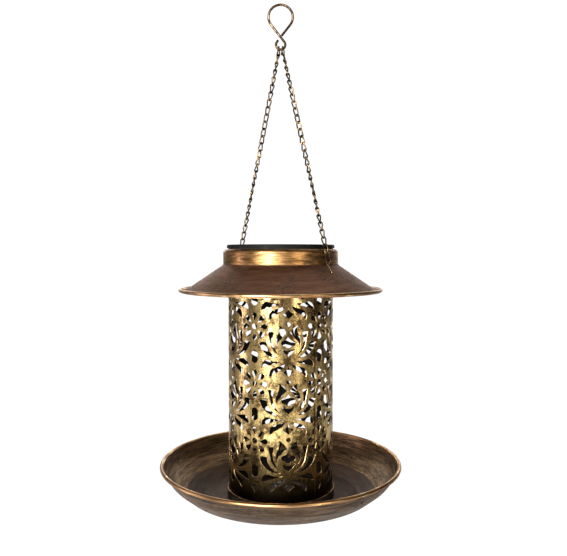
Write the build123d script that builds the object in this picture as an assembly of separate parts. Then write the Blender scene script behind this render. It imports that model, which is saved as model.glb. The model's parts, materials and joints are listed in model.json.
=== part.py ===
"""Hanging solar lantern bird feeder: hook, two curb chains, spun roof, pierced tube, seed tray, lamp lid.

Millimetres, +Z up.  The origin is the hang point, inside the top of the hook's upper loop, and the
lantern hangs below it on the Z axis.  Angles round the lantern count from -Y towards +X.
"""
import os
from math import acos, atan2, ceil, cos, degrees, hypot, pi, radians, sin, tan

from build123d import *

# ---- driving dimensions -------------------------------------------------------------------------
# hook
HOOK_WIRE = 2.4
HOOK_LOOP_R = 12.0          # centreline radius of the upper loop
HOOK_EYE_R = 4.6            # centreline radius of the lower eye
HOOK_LENGTH = 26.8          # from the loop's centre to the eye's centre
HOOK_END_GAP = 0.1          # between the loop's free end and the wire it closes on
HOOK_EYE_CLOSE = 35.0       # how far the eye's bend goes on past its side
HOOK_TIP = 2.4              # straight tip after that bend

# chains
CHAIN_WIRE = 1.4
LINK_WIDTH = 6.0            # outer width of a link
LINK_PITCH = 7.35
LINK_TWIST = 78.0           # one end of a link against the other
LINK_PLAY = 0.15            # free gap where two links cross
TOP_LINK_SPREAD = 1.75      # each top link from the eye's middle
TOP_LINK_PLAY = 0.45
CHAIN_AZIMUTH = 45.0        # the right chain's side, from -Y towards +X

# S hooks
S_WIRE = 1.6
S_UPPER_R = 2.5
S_LOWER_R = 2.6
S_HOLE_D = 5.0              # hole in the roof

# roof, one spun sheet
ROOF_SHEET = 0.7
COLLAR_TOP_Z = -238.4       # the collar's top, below the hang point
COLLAR_OUT = 5.0            # the collar's outside beyond the tube's
COLLAR_HEIGHT = 15.4
COLLAR_CORNER_R = 4.0
MOUTH_LEDGE = 4.1           # mouth flange inside the tube's outside
FOOT_FILLET_R = 3.0
CONE_RUN = 35.4             # radius gained from collar to cone foot
CONE_SLOPE = 34.2
GUTTER_RUN = 3.5
GUTTER_DROP = 1.9           # gutter bottom below the cone's foot
BRIM_RUN = 4.9
BRIM_BEAD_D = 3.6
BRIM_BEAD_RISE = 0.8        # bead's centre above the gutter's bottom

# pierced tube
TUBE_R = 52.1
TUBE_SHEET = 0.6
TUBE_LENGTH = 244.0
SEAM_ANGLE = 38.6
SEAM_LAP = 7.0
PATTERN_REPEATS = 5
PATTERN_PITCH = 53.85       # height of one row of the pattern
PATTERN_ANGLE = 8.2         # a lotus axis
FIRST_ROW_UP = 64.9         # lowest whole row of rosettes above the tube's foot
BOTTOM_BAND = 15.0          # plain band at the foot
TOP_BAND = 31.0             # plain band at the head, hidden in the roof

# base cup and tray
CUP_SHEET = 0.6
CUP_GAP = 0.9               # room inside the cup for the tube and its lapped seam
CUP_HEIGHT = 7.6
CUP_LIP_D = 1.0
TRAY_SHEET = 0.8
TRAY_R = 120.0
TRAY_DEPTH = 34.5
TRAY_BEAD_D = 4.0
TRAY_WALL_RUN = 26.0        # radius from the shallow ring to the rim
TRAY_RING_RUN = 17.0        # radius across the shallow ring
TRAY_STEP_UP = 6.6          # the ring's outer edge above the tray's flat bottom
PAD_R = 20.0                # raised middle that hides the screw head
PAD_RISE = 4.6
PAD_BEND_R = 1.0
SCREW_D = 5.0

# lamp lid
LID_OUT = 1.4               # the lid's rim beyond the tube's outside
LID_THICK = 3.4
SEAL_THICK = 0.8
SKIRT_GAP = 0.6
SKIRT_WALL = 2.0
SKIRT_DEPTH = 23.0
LUG_OUT = 1.5
LUG_ARC = 12.0
LUG_COUNT = 3
LUG_HEIGHT = 2.0
LOCK_TURN = 25.0
CELL_SIDE = 60.0
CELL_THICK = 0.5
WINDOW_SIDE = 66.0
WINDOW_THICK = 1.0
COVER_THICK = 2.0
BATTERY_D = 14.2
BATTERY_LENGTH = 50.0
BOARD_SIZE = (30.0, 18.0, 1.6)
LED_D = 5.0
SLIDER_TRAVEL = 2.0
M2_D = 2.0
THREAD_GAP = 0.02           # round a thread that is drawn plain
FIT = 0.2                   # ordinary assembly gap

# ---- worked-out places --------------------------------------------------------------------------
EYE_Z = HOOK_WIRE / 2 - HOOK_LOOP_R - HOOK_LENGTH
COLLAR_R = TUBE_R + COLLAR_OUT
MOUTH_R = TUBE_R - MOUTH_LEDGE
CONE_FOOT_R = COLLAR_R + CONE_RUN
GUTTER_R = CONE_FOOT_R + GUTTER_RUN
BRIM_R = GUTTER_R + BRIM_RUN
CUP_R = TUBE_R + CUP_GAP + CUP_SHEET
LID_R = TUBE_R + LID_OUT
COLLAR_FOOT_Z = COLLAR_TOP_Z - COLLAR_HEIGHT
CONE_FOOT_Z = COLLAR_FOOT_Z - (CONE_FOOT_R - COLLAR_R) * tan(radians(CONE_SLOPE))
TUBE_TOP_Z = COLLAR_TOP_Z - ROOF_SHEET
TUBE_FOOT_Z = TUBE_TOP_Z - TUBE_LENGTH
CUP_FLOOR_Z = TUBE_FOOT_Z - CUP_SHEET
TRAY_BOTTOM_Z = CUP_FLOOR_Z - TRAY_SHEET
LID_Z = COLLAR_TOP_Z + SEAL_THICK
SKIRT_R = MOUTH_R - SKIRT_GAP
SKIRT_FOOT_Z = LID_Z - SKIRT_DEPTH
LINK_HALF = (LINK_WIDTH - CHAIN_WIRE) / 2
LINK_LENGTH = LINK_PITCH + CHAIN_WIRE + LINK_PLAY
TUBE_INNER_R = TUBE_R - TUBE_SHEET
COVER_R = SKIRT_R - SKIRT_WALL - FIT
COVER_Z = SKIRT_FOOT_Z + COVER_THICK
UP = Align.MIN
DOWN = Align.MAX
MID = Align.CENTER


def save(node, *solids):
    """Write one node; several solids stay separate in it."""
    shape = solids[0] if len(solids) == 1 else Compound(children=list(solids))
    shape.label = node
    export_step(shape, f"parts/{node}.step")


def disc(r, height, z, align=UP):
    return Pos(0, 0, z) * Cylinder(r, height, align=(MID, MID, align))


def ring(r_out, r_in, height, z):
    return disc(r_out, height, z) - disc(r_in, height + 2, z - 1)


def box(size, place, align=(MID, MID, UP)):
    return Pos(*place) * Box(*size, align=align)


def xz(r, z):
    return Vector(r, 0, z)


def tube_along(path, wire_d):
    """Round wire swept along a path of lines and arcs."""
    return sweep(Plane(origin=path @ 0, z_dir=path % 0) * Circle(wire_d / 2), path=path)


def around(angle):
    """Unit vector outwards at an angle counted from -Y towards +X."""
    return Vector(sin(radians(angle)), -cos(radians(angle)), 0)


# ---- hook ---------------------------------------------------------------------------------------
def hanging_hook():
    """One wire: straight free leg, loop over the top, straight leg across, eye round the bottom."""
    loop = xz(0, HOOK_WIRE / 2 - HOOK_LOOP_R)
    eye = xz(0, EYE_Z)
    lean = acos((HOOK_LOOP_R + HOOK_EYE_R) / HOOK_LENGTH)
    side = (sin(lean), -cos(lean))
    right = loop + xz(HOOK_LOOP_R * side[0], HOOK_LOOP_R * side[1])
    left = loop + xz(-HOOK_LOOP_R * side[0], HOOK_LOOP_R * side[1])
    eye_in = eye + xz(HOOK_EYE_R * side[0], -HOOK_EYE_R * side[1])
    along = (eye_in - left).normalized()
    mirrored = Vector(-along.X, 0, along.Z)
    reach = right.X / -mirrored.X
    between = pi - 2 * lean
    short = (HOOK_WIRE / 2 * (1 + cos(between)) + HOOK_END_GAP) / sin(between)
    free_end = right + mirrored * (reach - short)
    top = loop + xz(0, HOOK_LOOP_R)
    bottom = eye - xz(0, HOOK_EYE_R)
    close = radians(HOOK_EYE_CLOSE)
    eye_side = eye - xz(HOOK_EYE_R, 0)
    eye_end = eye + xz(-HOOK_EYE_R * cos(close), HOOK_EYE_R * sin(close))
    wire = Wire([
        Line(free_end, right),
        ThreePointArc(right, top, left),
        Line(left, eye_in),
        ThreePointArc(eye_in, bottom, eye_side),
        ThreePointArc(eye_side, eye + xz(-HOOK_EYE_R * cos(close / 2), HOOK_EYE_R * sin(close / 2)), eye_end),
        Line(eye_end, eye_end + xz(HOOK_TIP * sin(close), HOOK_TIP * cos(close))),
    ])
    return tube_along(wire, HOOK_WIRE)


# ---- chains -------------------------------------------------------------------------------------
def link(twist, start=0.0):
    """One twisted link, its top crossing point at the origin, hanging down -Z.

    The top end lies in the plane turned by start about Z, the bottom end twist further on.
    """
    corner = []
    for z, turn in ((0.0, start), (-LINK_LENGTH, start + twist)):
        for side in (-1, 1):
            a = radians(turn)
            corner.append((side * LINK_HALF * cos(a), side * LINK_HALF * sin(a), z))
    sides = [(Vector(*corner[i]) + Vector(*corner[i + 2])) / 2 for i in (0, 1)]
    top = FilletPolyline(sides[0], corner[0], corner[1], sides[1], radius=LINK_HALF * 0.89)
    bottom = FilletPolyline(sides[1], corner[3], corner[2], sides[0], radius=LINK_HALF * 0.89)
    return tube_along(top, CHAIN_WIRE) + tube_along(bottom, CHAIN_WIRE)


def frame_along(top, bottom):
    """A location at top whose -Z points at bottom, with X kept level with the world's XY plane."""
    down = (bottom - top).normalized()
    level = Vector(0, 0, 1).cross(down).normalized()
    return Location(Plane(origin=top, x_dir=level, z_dir=down * -1))


RADIAL = around(CHAIN_AZIMUTH)
S_UPPER_RADIUS = COLLAR_R + LINK_WIDTH / 2 + 2.9
HOLE_R = S_UPPER_RADIUS + 4.6
S_UPPER_Z = COLLAR_FOOT_Z + 3.4


def cone_z(r):
    """Height of the cone's outer face at radius r."""
    return COLLAR_FOOT_Z - (r - COLLAR_R) * tan(radians(CONE_SLOPE))


def top_link_points(side):
    """Crossing points of one top link: on the hook's eye, and with the chain below it."""
    x = side * TOP_LINK_SPREAD
    eye_wire_z = EYE_Z - (HOOK_EYE_R ** 2 - x ** 2) ** 0.5
    flat = RADIAL * (side * (LINK_WIDTH / 2 + 0.25))
    astride_y = -0.3 * flat.Y
    top = Vector(x, astride_y, eye_wire_z + (HOOK_WIRE + CHAIN_WIRE) / 2 + TOP_LINK_PLAY)
    drop = (LINK_LENGTH ** 2 - (flat - Vector(x, astride_y, 0)).length ** 2) ** 0.5
    return top, Vector(flat.X, flat.Y, top.Z - drop)


def chain_points(side):
    """First and last crossing points of the rest of a chain, and its number of links."""
    junction = top_link_points(side)[1]
    start = junction + Vector(0, 0, CHAIN_WIRE + LINK_PLAY)
    upper = RADIAL * (side * S_UPPER_RADIUS) + Vector(0, 0, S_UPPER_Z)
    slack = S_UPPER_R - (S_WIRE + CHAIN_WIRE) / 2 - LINK_PLAY
    end = upper + Vector(0, 0, slack)
    run = (end - start).length - LINK_LENGTH
    count = round(run / LINK_PITCH) + 1
    return start, end, count


def turn_in_frame(frame, direction):
    """Angle of a world direction about the frame's Z axis, from its X axis."""
    x = frame.x_axis.direction
    y = frame.y_axis.direction
    return degrees(atan2(direction.dot(y), direction.dot(x)))


def top_link(side):
    top, bottom = top_link_points(side)
    frame = frame_along(top, bottom)
    start = turn_in_frame(frame, Vector(0, 1, 0))
    end = turn_in_frame(frame, RADIAL)
    twist = (end - start) % 180
    return frame * link(twist if twist <= 90 else twist - 180, start)


def chain(side):
    """Links from the junction below the top link down to the S hook, each turned on the last."""
    start, end, count = chain_points(side)
    frame = frame_along(start, end)
    pitch = ((end - start).length - LINK_LENGTH) / (count - 1)
    tangent = Vector(0, 0, 1).cross(RADIAL)
    first = turn_in_frame(frame, tangent)
    last = turn_in_frame(frame, tangent)
    nominal = LINK_TWIST - 90
    whole = last - first - LINK_TWIST
    turns = round((nominal * (count - 1) - whole) / 180)
    step = (whole + 180 * turns) / (count - 1)
    one = link(LINK_TWIST)
    return [frame * Pos(0, 0, -pitch * i) * Rot(0, 0, first + step * i) * one for i in range(count)]


def s_hook(side):
    """Upper ring round the last link, shank down the cone, lower ring through the roof's hole."""
    slope = radians(CONE_SLOPE)
    upper = Vector(S_UPPER_RADIUS, S_UPPER_Z)
    out = Vector(sin(slope), cos(slope))
    down_slope = Vector(cos(slope), -sin(slope))
    hole = Vector(HOLE_R, cone_z(HOLE_R)) - out * (ROOF_SHEET / 2)
    lower = hole - down_slope * (S_LOWER_R * 0.86) - out * (S_LOWER_R * 0.5)
    axis = lower - upper
    lean = acos((S_UPPER_R + S_LOWER_R) / axis.length)
    heading = atan2(axis.Y, axis.X)
    leave = heading - lean

    def on(centre, r, a):
        return Vector(centre.X + r * cos(a), centre.Y + r * sin(a))

    upper_end = on(upper, S_UPPER_R, leave - radians(300))
    upper_mid = on(upper, S_UPPER_R, leave - radians(150))
    upper_out = on(upper, S_UPPER_R, leave)
    lower_in = on(lower, S_LOWER_R, leave + pi)
    lower_mid = on(lower, S_LOWER_R, leave + pi - radians(105))
    lower_end = on(lower, S_LOWER_R, leave + pi - radians(210))
    flat = Plane(origin=(0, 0, 0), x_dir=RADIAL * side, z_dir=(RADIAL * side).cross(Vector(0, 0, 1)))
    wire = Wire([
        flat * ThreePointArc(upper_end, upper_mid, upper_out),
        flat * Line(upper_out, lower_in),
        flat * ThreePointArc(lower_in, lower_mid, lower_end),
    ])
    return tube_along(wire, S_WIRE)


# ---- roof ---------------------------------------------------------------------------------------
def spun_sheet(points, radii, sheet, bead, bead_r):
    """Sheet with rounded edges spun along a filleted run of (radius, height) points, a bead at its rim."""
    run = FilletPolyline(*points, bead, radius=radii)
    outline = make_face(run.offset_2d(sheet / 2, side=Side.BOTH)) + Pos(*bead) * Circle(bead_r)
    return revolve(Plane.XZ * outline, Axis.Z)


def roof():
    """Spun sheet: mouth flange, rounded collar, cone, gutter and a bead rolled round the brim."""
    t = ROOF_SHEET
    half = t / 2
    bead_r = BRIM_BEAD_D / 2
    run = [
        (MOUTH_R + half, COLLAR_TOP_Z - half),
        (COLLAR_R - half, COLLAR_TOP_Z - half),
        (COLLAR_R - half, COLLAR_FOOT_Z - half),
        (CONE_FOOT_R, CONE_FOOT_Z - half),
        (GUTTER_R, CONE_FOOT_Z - GUTTER_DROP),
    ]
    bead = (BRIM_R - bead_r, CONE_FOOT_Z - GUTTER_DROP + BRIM_BEAD_RISE)
    shell = spun_sheet(run, [COLLAR_CORNER_R - half, FOOT_FILLET_R, 3.0, 2.0], t, bead, bead_r)
    cuts = []
    for k in range(LUG_COUNT):
        cuts.append(lug_sector(k * 360 / LUG_COUNT + LOCK_TURN, LUG_ARC + 3, LUG_OUT + 2 * FIT, MOUTH_R,
                               COLLAR_TOP_Z - 3 * t, 5 * t))
    for side in (-1, 1):
        slope = radians(CONE_SLOPE)
        spot = RADIAL * (side * HOLE_R) + Vector(0, 0, cone_z(HOLE_R))
        normal = RADIAL * (side * sin(slope)) + Vector(0, 0, cos(slope))
        cuts.append(Plane(origin=spot, z_dir=normal) * Cylinder(S_HOLE_D / 2, 8 * t))
    return shell - cuts


def lug_sector(angle, arc, out, r, z, height):
    """A short wedge of ring from radius r outwards, centred on an angle about Z."""
    wedge = ring(r + out, r - 1, height, z)
    span = 2 * (r + out) * sin(radians(arc / 2))
    keep = box((2 * (out + 3), span, height + 2), (r, 0, z - 1))
    return Rot(0, 0, angle) * (wedge & keep)


# ---- pierced tube -------------------------------------------------------------------------------
# Each hole is a closed outline, anticlockwise, of (across, up, bulge): bulge is how far the arc to the
# next corner stands outside the straight line.  Across is from the lotus axis, up from the rosette row.
DRAWN_HALF = 32.7           # half repeat and row pitch that the outlines are drawn for
DRAWN_PITCH = 53.85
HALF_REPEAT = pi * TUBE_R / PATTERN_REPEATS
CLOVER = [(0, -8.85, -0.3), (-3.2, -12.6, 3.6), (-3.2, -17.7, 2.0), (3.2, -17.7, 3.6), (3.2, -12.6, -0.3)]
DROP = [(0, 4.4, 0.4), (-2.2, 2.2, 0.4), (0, 0, 0.4), (2.2, 2.2, 0.4)]
KITE = [(0, -36.9, -1.0), (-5.4, -42, 0.3), (0, -46.3, 0.3), (5.4, -42, -1.0)]
HEART = [(6.3, -20.8, -1.6), (-6.3, -20.8, 0.7), (0, -27.5, 0.7)]
WING = [(8.9, 1.3, 1.0), (1.5, -5.7, -0.5), (6.6, -11.3, -3.6), (7.2, -23.1, 2.7), (10.6, -8.3, -1.2)]
COMMA = [(19.2, -4.8, 0.3), (13.6, -5.2, 0.3), (14.9, -11.5, -2.0), (7.5, -27, 2.6), (17.4, -12.5, -0.3)]
SEPAL = [(28, -15, 0.6), (20.8, -14.3, -3.2), (8.3, -28.9, 4.6)]
LEAF = [(6.4, -32.3, 0.9), (25.9, -38.3, 1.7), (20.5, -30.6, -0.8)]
FERN = [(3.2, -34.8, 1.0), (9.0, -41.2, -0.8), (17.1, -47.2, 1.7), (15.2, -38.8, 0.2)]
ALMOND = [(0, -22.3, 1.9), (-2.8, -28.4, 1.9), (0, -34.5, 1.9), (2.8, -28.4, 1.9)]
ROSETTE_EYE = [(2.7, 0, 2.7), (-2.7, 0, 2.7)]
PETAL = [(5.1, 0, 0.15), (10.0, -2.45, 3.1), (10.0, 2.45, 0.15)]
CHORD_ERROR = 0.45          # the arcs of a hole are cut as short flats


def shifted(outline, across, up=0.0):
    return [(x + across, y + up, bulge) for x, y, bulge in outline]


def stretched(outline):
    """The outline fitted to this tube's repeat and row pitch."""
    wide = HALF_REPEAT / DRAWN_HALF
    tall = PATTERN_PITCH / DRAWN_PITCH
    return [(x * wide, y * tall, bulge * min(wide, tall)) for x, y, bulge in outline]


def turned(outline, angle):
    a = radians(angle)
    return [(x * cos(a) - y * sin(a), x * sin(a) + y * cos(a), bulge) for x, y, bulge in outline]


def mirrored(outline):
    n = len(outline)
    return [(-outline[-i % n][0], outline[-i % n][1], outline[(-i - 1) % n][2]) for i in range(n)]


def pattern_tile():
    """All holes of one repeat in one row."""
    holes = [CLOVER, DROP, KITE, HEART]
    for one in (WING, COMMA, SEPAL, LEAF, FERN):
        holes += [one, mirrored(one)]
    rosette = [turned(PETAL, 45 * k) for k in range(8)] + [ROSETTE_EYE, ALMOND]
    holes += [shifted(one, DRAWN_HALF) for one in rosette]
    return [stretched(one) for one in holes]


def flats(outline):
    """The outline's corners with each arc broken into chords."""
    points = []
    for i, (x, y, bulge) in enumerate(outline):
        xe, ye, _ = outline[(i + 1) % len(outline)]
        points.append((x, y))
        chord = hypot(xe - x, ye - y)
        height = abs(bulge)
        if height < CHORD_ERROR / 2:
            continue
        r = (chord ** 2 / 4 + height ** 2) / (2 * height)
        sweep_angle = 4 * atan2(2 * height, chord)
        steps = max(2, ceil(sweep_angle / (2 * acos(1 - CHORD_ERROR / r))))
        ux, uy = (xe - x) / chord, (ye - y) / chord
        sign = 1 if bulge > 0 else -1
        for j in range(1, steps):
            a = sweep_angle * (j / steps - 0.5)
            along = r * sin(a)
            off = sign * (r * cos(a) - r + height)
            points.append(((x + xe) / 2 + ux * along + uy * off, (y + ye) / 2 + uy * along - ux * off))
    return points


def hole_tool(outline, row_z, repeat):
    """A short prism that pierces the wall at the outline's own angle."""
    across = [corner[0] for corner in outline]
    middle = (min(across) + max(across)) / 2
    angle = PATTERN_ANGLE + 360 / PATTERN_REPEATS * repeat + degrees(middle / TUBE_R)
    face = make_face(Polyline(*flats(shifted(outline, -middle, row_z)), close=True))
    start_r = TUBE_R + 2 * TUBE_SHEET
    a = radians(angle)
    plane = Plane(origin=around(angle) * start_r, x_dir=(cos(a), sin(a), 0), z_dir=around(angle))
    return plane * extrude(face, amount=-4 * TUBE_SHEET)


def perforated_tube():
    """Rolled sheet with a raised lap at the seam, pierced between two plain bands."""
    low = TUBE_FOOT_Z + BOTTOM_BAND
    high = TUBE_TOP_Z - TOP_BAND
    row_count = ceil(TUBE_LENGTH / PATTERN_PITCH)
    rows = [TUBE_FOOT_Z + FIRST_ROW_UP + PATTERN_PITCH * k for k in range(-1, row_count)]
    tools = []
    for row_z in rows:
        for outline in pattern_tile():
            ups = [corner[1] + row_z for corner in outline]
            if min(ups) > low and max(ups) < high:
                tools += [hole_tool(outline, row_z, k) for k in range(PATTERN_REPEATS)]
    wall = ring(TUBE_R, TUBE_INNER_R, TUBE_LENGTH, TUBE_FOOT_Z)
    lap_z = TUBE_FOOT_Z + CUP_HEIGHT + CUP_LIP_D
    lap_length = CONE_FOOT_Z - lap_z
    lap_arc = degrees(SEAM_LAP / TUBE_R)
    strip = ring(TUBE_R + TUBE_SHEET, TUBE_R - TUBE_SHEET / 2, lap_length, lap_z)
    keep = box((12, SEAM_LAP, lap_length + 2), (TUBE_R, 0, lap_z - 1))
    seam = Rot(0, 0, SEAM_ANGLE + lap_arc / 2 - 90) * (strip & keep)
    return (wall + seam) - tools


# ---- base cup and tray --------------------------------------------------------------------------
CUP_HOLLOW_R = PAD_R + TRAY_SHEET / 2 + PAD_BEND_R + FIT


def base_cup():
    """Shallow cup with a rolled lip; its raised middle nests over the tray's."""
    t = CUP_SHEET
    floor = disc(CUP_R, t, CUP_FLOOR_Z)
    wall = ring(CUP_R, CUP_R - t, CUP_HEIGHT, CUP_FLOOR_Z)
    lip_place = Pos(CUP_R - CUP_LIP_D / 2, CUP_FLOOR_Z + CUP_HEIGHT)
    lip = revolve(Plane.XZ * lip_place * Circle(CUP_LIP_D / 2), Axis.Z)
    pad = disc(CUP_HOLLOW_R + t, PAD_RISE + t, CUP_FLOOR_Z)
    hollow = disc(CUP_HOLLOW_R, PAD_RISE, CUP_FLOOR_Z)
    bore = disc(SCREW_D / 2 + FIT, 20, CUP_FLOOR_Z - 1)
    return floor + wall + lip + pad - hollow - bore


def feed_tray():
    """Pressed dish: flat bottom with a raised middle, shallow ring, rounded wall, rolled rim."""
    t = TRAY_SHEET
    half = t / 2
    bead_r = TRAY_BEAD_D / 2
    bead = (TRAY_R - bead_r, TRAY_BOTTOM_Z + TRAY_DEPTH - bead_r)
    bottom = TRAY_BOTTOM_Z + half
    run = [
        (SCREW_D / 2 + FIT + half, bottom + PAD_RISE),
        (PAD_R, bottom + PAD_RISE),
        (PAD_R + half, bottom),
        (TRAY_R - TRAY_WALL_RUN - TRAY_RING_RUN, bottom),
        (TRAY_R - TRAY_WALL_RUN, TRAY_BOTTOM_Z + TRAY_STEP_UP),
        (TRAY_R - TRAY_WALL_RUN * 0.4, TRAY_BOTTOM_Z + TRAY_DEPTH * 0.56),
    ]
    return spun_sheet(run, [PAD_BEND_R, PAD_BEND_R, 6.0, 10.0, 24.0], t, bead, bead_r)


def pan_screw(d, length, head_d, head_h):
    """Pan head below z = 0, shank up +Z, cross recess in the head."""
    head = disc(head_d / 2, head_h, 0, DOWN)
    head = fillet(head.edges().group_by(Axis.Z)[0], head_h * 0.45)
    cross = box((head_d * 0.6, d * 0.22, head_h * 0.5), (0, 0, -head_h))
    cross += box((d * 0.22, head_d * 0.6, head_h * 0.5), (0, 0, -head_h))
    return head + disc(d / 2, length, 0) - cross


TRAY_PAD_TOP = TRAY_BOTTOM_Z + PAD_RISE + TRAY_SHEET
CUP_PAD_TOP = CUP_FLOOR_Z + PAD_RISE + CUP_SHEET
WASHER_THICK = 1.0
WASHER_R = 6.0
NUT_HEIGHT = 4.0


def tray_fasteners():
    seat = TRAY_BOTTOM_Z + PAD_RISE
    screw = Pos(0, 0, seat - WASHER_THICK) * pan_screw(SCREW_D, 14, 9.5, 2.6)
    bore = SCREW_D / 2 + FIT
    washers = (ring(WASHER_R, bore, WASHER_THICK, seat - WASHER_THICK),
               ring(WASHER_R, bore, WASHER_THICK, CUP_PAD_TOP))
    nut_z = CUP_PAD_TOP + WASHER_THICK
    nut = Pos(0, 0, nut_z) * extrude(RegularPolygon(8 / 2, 6, major_radius=False), NUT_HEIGHT)
    nut = nut & Pos(0, 0, nut_z) * chamfered_disc(9.2 / 2, NUT_HEIGHT)
    return screw, washers, nut - disc(SCREW_D / 2, 20, nut_z - 1)


def chamfered_disc(r, height):
    blank = disc(r, height, 0)
    return chamfer(blank.edges(), height * 0.12)


# ---- lamp lid -----------------------------------------------------------------------------------
POCKET_DEPTH = WINDOW_THICK + CELL_THICK + FIT
BATTERY_Z = COVER_Z + 1.2 + BATTERY_D / 2
BATTERY_Y = 14.0
BOARD_Y = -16.0
BOARD_Z = COVER_Z + 7.0
LED_X = 0.0
LED_Y = BOARD_Y + 3.0
SWITCH_X = 4.0
SWITCH_Y = BOARD_Y - 6.2
SWITCH_SIZE = (9.0, 4.4, 4.0)
SLIDER_SIZE = (2.0, 1.8, 3.4)
LEAD_D = 1.0
LEAD_HOLE_Y = BOARD_Y + 6.0
BAY_X = BATTERY_LENGTH / 2 + 6.0
BAY_Y = BATTERY_D / 2 + 1.6
BAY_WALL = 1.4
COVER_SCREW_SPOTS = [(38 * sin(radians(a)), -38 * cos(radians(a))) for a in (90, 210, 330)]
BOARD_SCREW_X = BOARD_SIZE[0] / 2 - 3.0
CONTACT_THICK = 0.5
DOOR_X = BAY_X - BAY_WALL - 0.4
DOOR_Y = BAY_Y - BAY_WALL - 0.4
DOOR_THICK = 1.6
DOOR_LIP = 1.4
DOOR_TAB = (8.0, 7.0, BATTERY_D * 0.3)
DOOR_SCREW_Y = BATTERY_Y - BAY_Y - 3.3


def lamp_housing():
    """Moulded lid: plate with a square pocket for the cell, skirt with three locking lugs, bosses."""
    plate = disc(LID_R, LID_THICK, LID_Z)
    plate = fillet(plate.edges().group_by(Axis.Z)[-1], 1.4)
    skirt = ring(SKIRT_R, SKIRT_R - SKIRT_WALL, SKIRT_DEPTH, SKIRT_FOOT_Z)
    lug_top = COLLAR_TOP_Z - ROOF_SHEET - FIT
    body = plate + skirt
    for k in range(LUG_COUNT):
        body += lug_sector(k * 360 / LUG_COUNT, LUG_ARC, LUG_OUT, SKIRT_R, lug_top - LUG_HEIGHT, LUG_HEIGHT)
    for x, y in COVER_SCREW_SPOTS:
        body += Pos(x, y) * ring(3.0, M2_D / 2 + THREAD_GAP, LID_Z - COVER_Z - FIT, COVER_Z + FIT)
    for side in (-1, 1):
        spot = Pos(side * BOARD_SCREW_X, BOARD_Y)
        body += spot * ring(2.4, M2_D / 2 + THREAD_GAP, LID_Z - BOARD_Z - BOARD_SIZE[2], BOARD_Z + BOARD_SIZE[2])
    pocket_z = LID_Z + LID_THICK - POCKET_DEPTH
    pocket = box((WINDOW_SIDE + 2 * FIT, WINDOW_SIDE + 2 * FIT, POCKET_DEPTH + 1), (0, 0, pocket_z))
    pocket = fillet(pocket.edges().filter_by(Axis.Z), 4.0)
    lead_hole = box((6, 3, 8), (0, LEAD_HOLE_Y, LID_Z - 2))
    return body - pocket - lead_hole


def lamp_cover():
    """Lower cover with the battery bay, a hole for the LED and a slot for the switch."""
    plate = disc(COVER_R, COVER_THICK, SKIRT_FOOT_Z)
    bay = box((2 * BAY_X, 2 * BAY_Y, BATTERY_D * 0.6), (0, BATTERY_Y, COVER_Z))
    room = (2 * (BAY_X - BAY_WALL), 2 * (BAY_Y - BAY_WALL), BATTERY_D)
    bay -= box(room, (0, BATTERY_Y, COVER_Z - 1))
    cover = plate + bay
    door_hole = box((2 * DOOR_X, 2 * DOOR_Y, COVER_THICK + 2), (0, BATTERY_Y, SKIRT_FOOT_Z - 1))
    cover -= door_hole
    cover -= Pos(LED_X, LED_Y) * disc(LED_D / 2 + FIT, COVER_THICK + 2, SKIRT_FOOT_Z - 1)
    slot = (SLIDER_SIZE[0] + SLIDER_TRAVEL + 2 * FIT, SLIDER_SIZE[1] + 2 * FIT, COVER_THICK + 2)
    cover -= box(slot, (SWITCH_X, SWITCH_Y, SKIRT_FOOT_Z - 1))
    for x, y in COVER_SCREW_SPOTS:
        cover -= Pos(x, y) * disc(M2_D / 2 + FIT, COVER_THICK + 2, SKIRT_FOOT_Z - 1)
    cover += box(DOOR_TAB, (0, DOOR_SCREW_Y, COVER_Z))
    return cover - Pos(0, DOOR_SCREW_Y) * disc(M2_D / 2 + THREAD_GAP, 30, SKIRT_FOOT_Z - 1)


def battery_door():
    """Plate under the bay with a plug that drops into its opening and an ear for one screw."""
    z = SKIRT_FOOT_Z - DOOR_THICK
    plate = box((2 * (DOOR_X + DOOR_LIP), 2 * (DOOR_Y + DOOR_LIP), DOOR_THICK), (0, BATTERY_Y, z))
    plate = fillet(plate.edges().filter_by(Axis.Z), 2.0)
    ear = box((8, 10, DOOR_THICK), (0, DOOR_SCREW_Y + 1.5, z))
    plug = box((2 * (DOOR_X - FIT), 2 * (DOOR_Y - FIT), COVER_THICK), (0, BATTERY_Y, SKIRT_FOOT_Z))
    return plate + ear + plug - Pos(0, DOOR_SCREW_Y) * disc(M2_D / 2 + FIT, 10, z - 1)


def battery():
    """Cell lying along X with a raised positive cap."""
    can = Cylinder(BATTERY_D / 2, BATTERY_LENGTH - 1.0)
    can = fillet(can.edges(), 0.8)
    cap = Pos(0, 0, BATTERY_LENGTH / 2 - 0.5) * Cylinder(2.6, 1.0, align=(MID, MID, UP))
    return Pos(-0.5, BATTERY_Y, BATTERY_Z) * Rot(0, 90, 0) * (can + cap)


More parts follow.
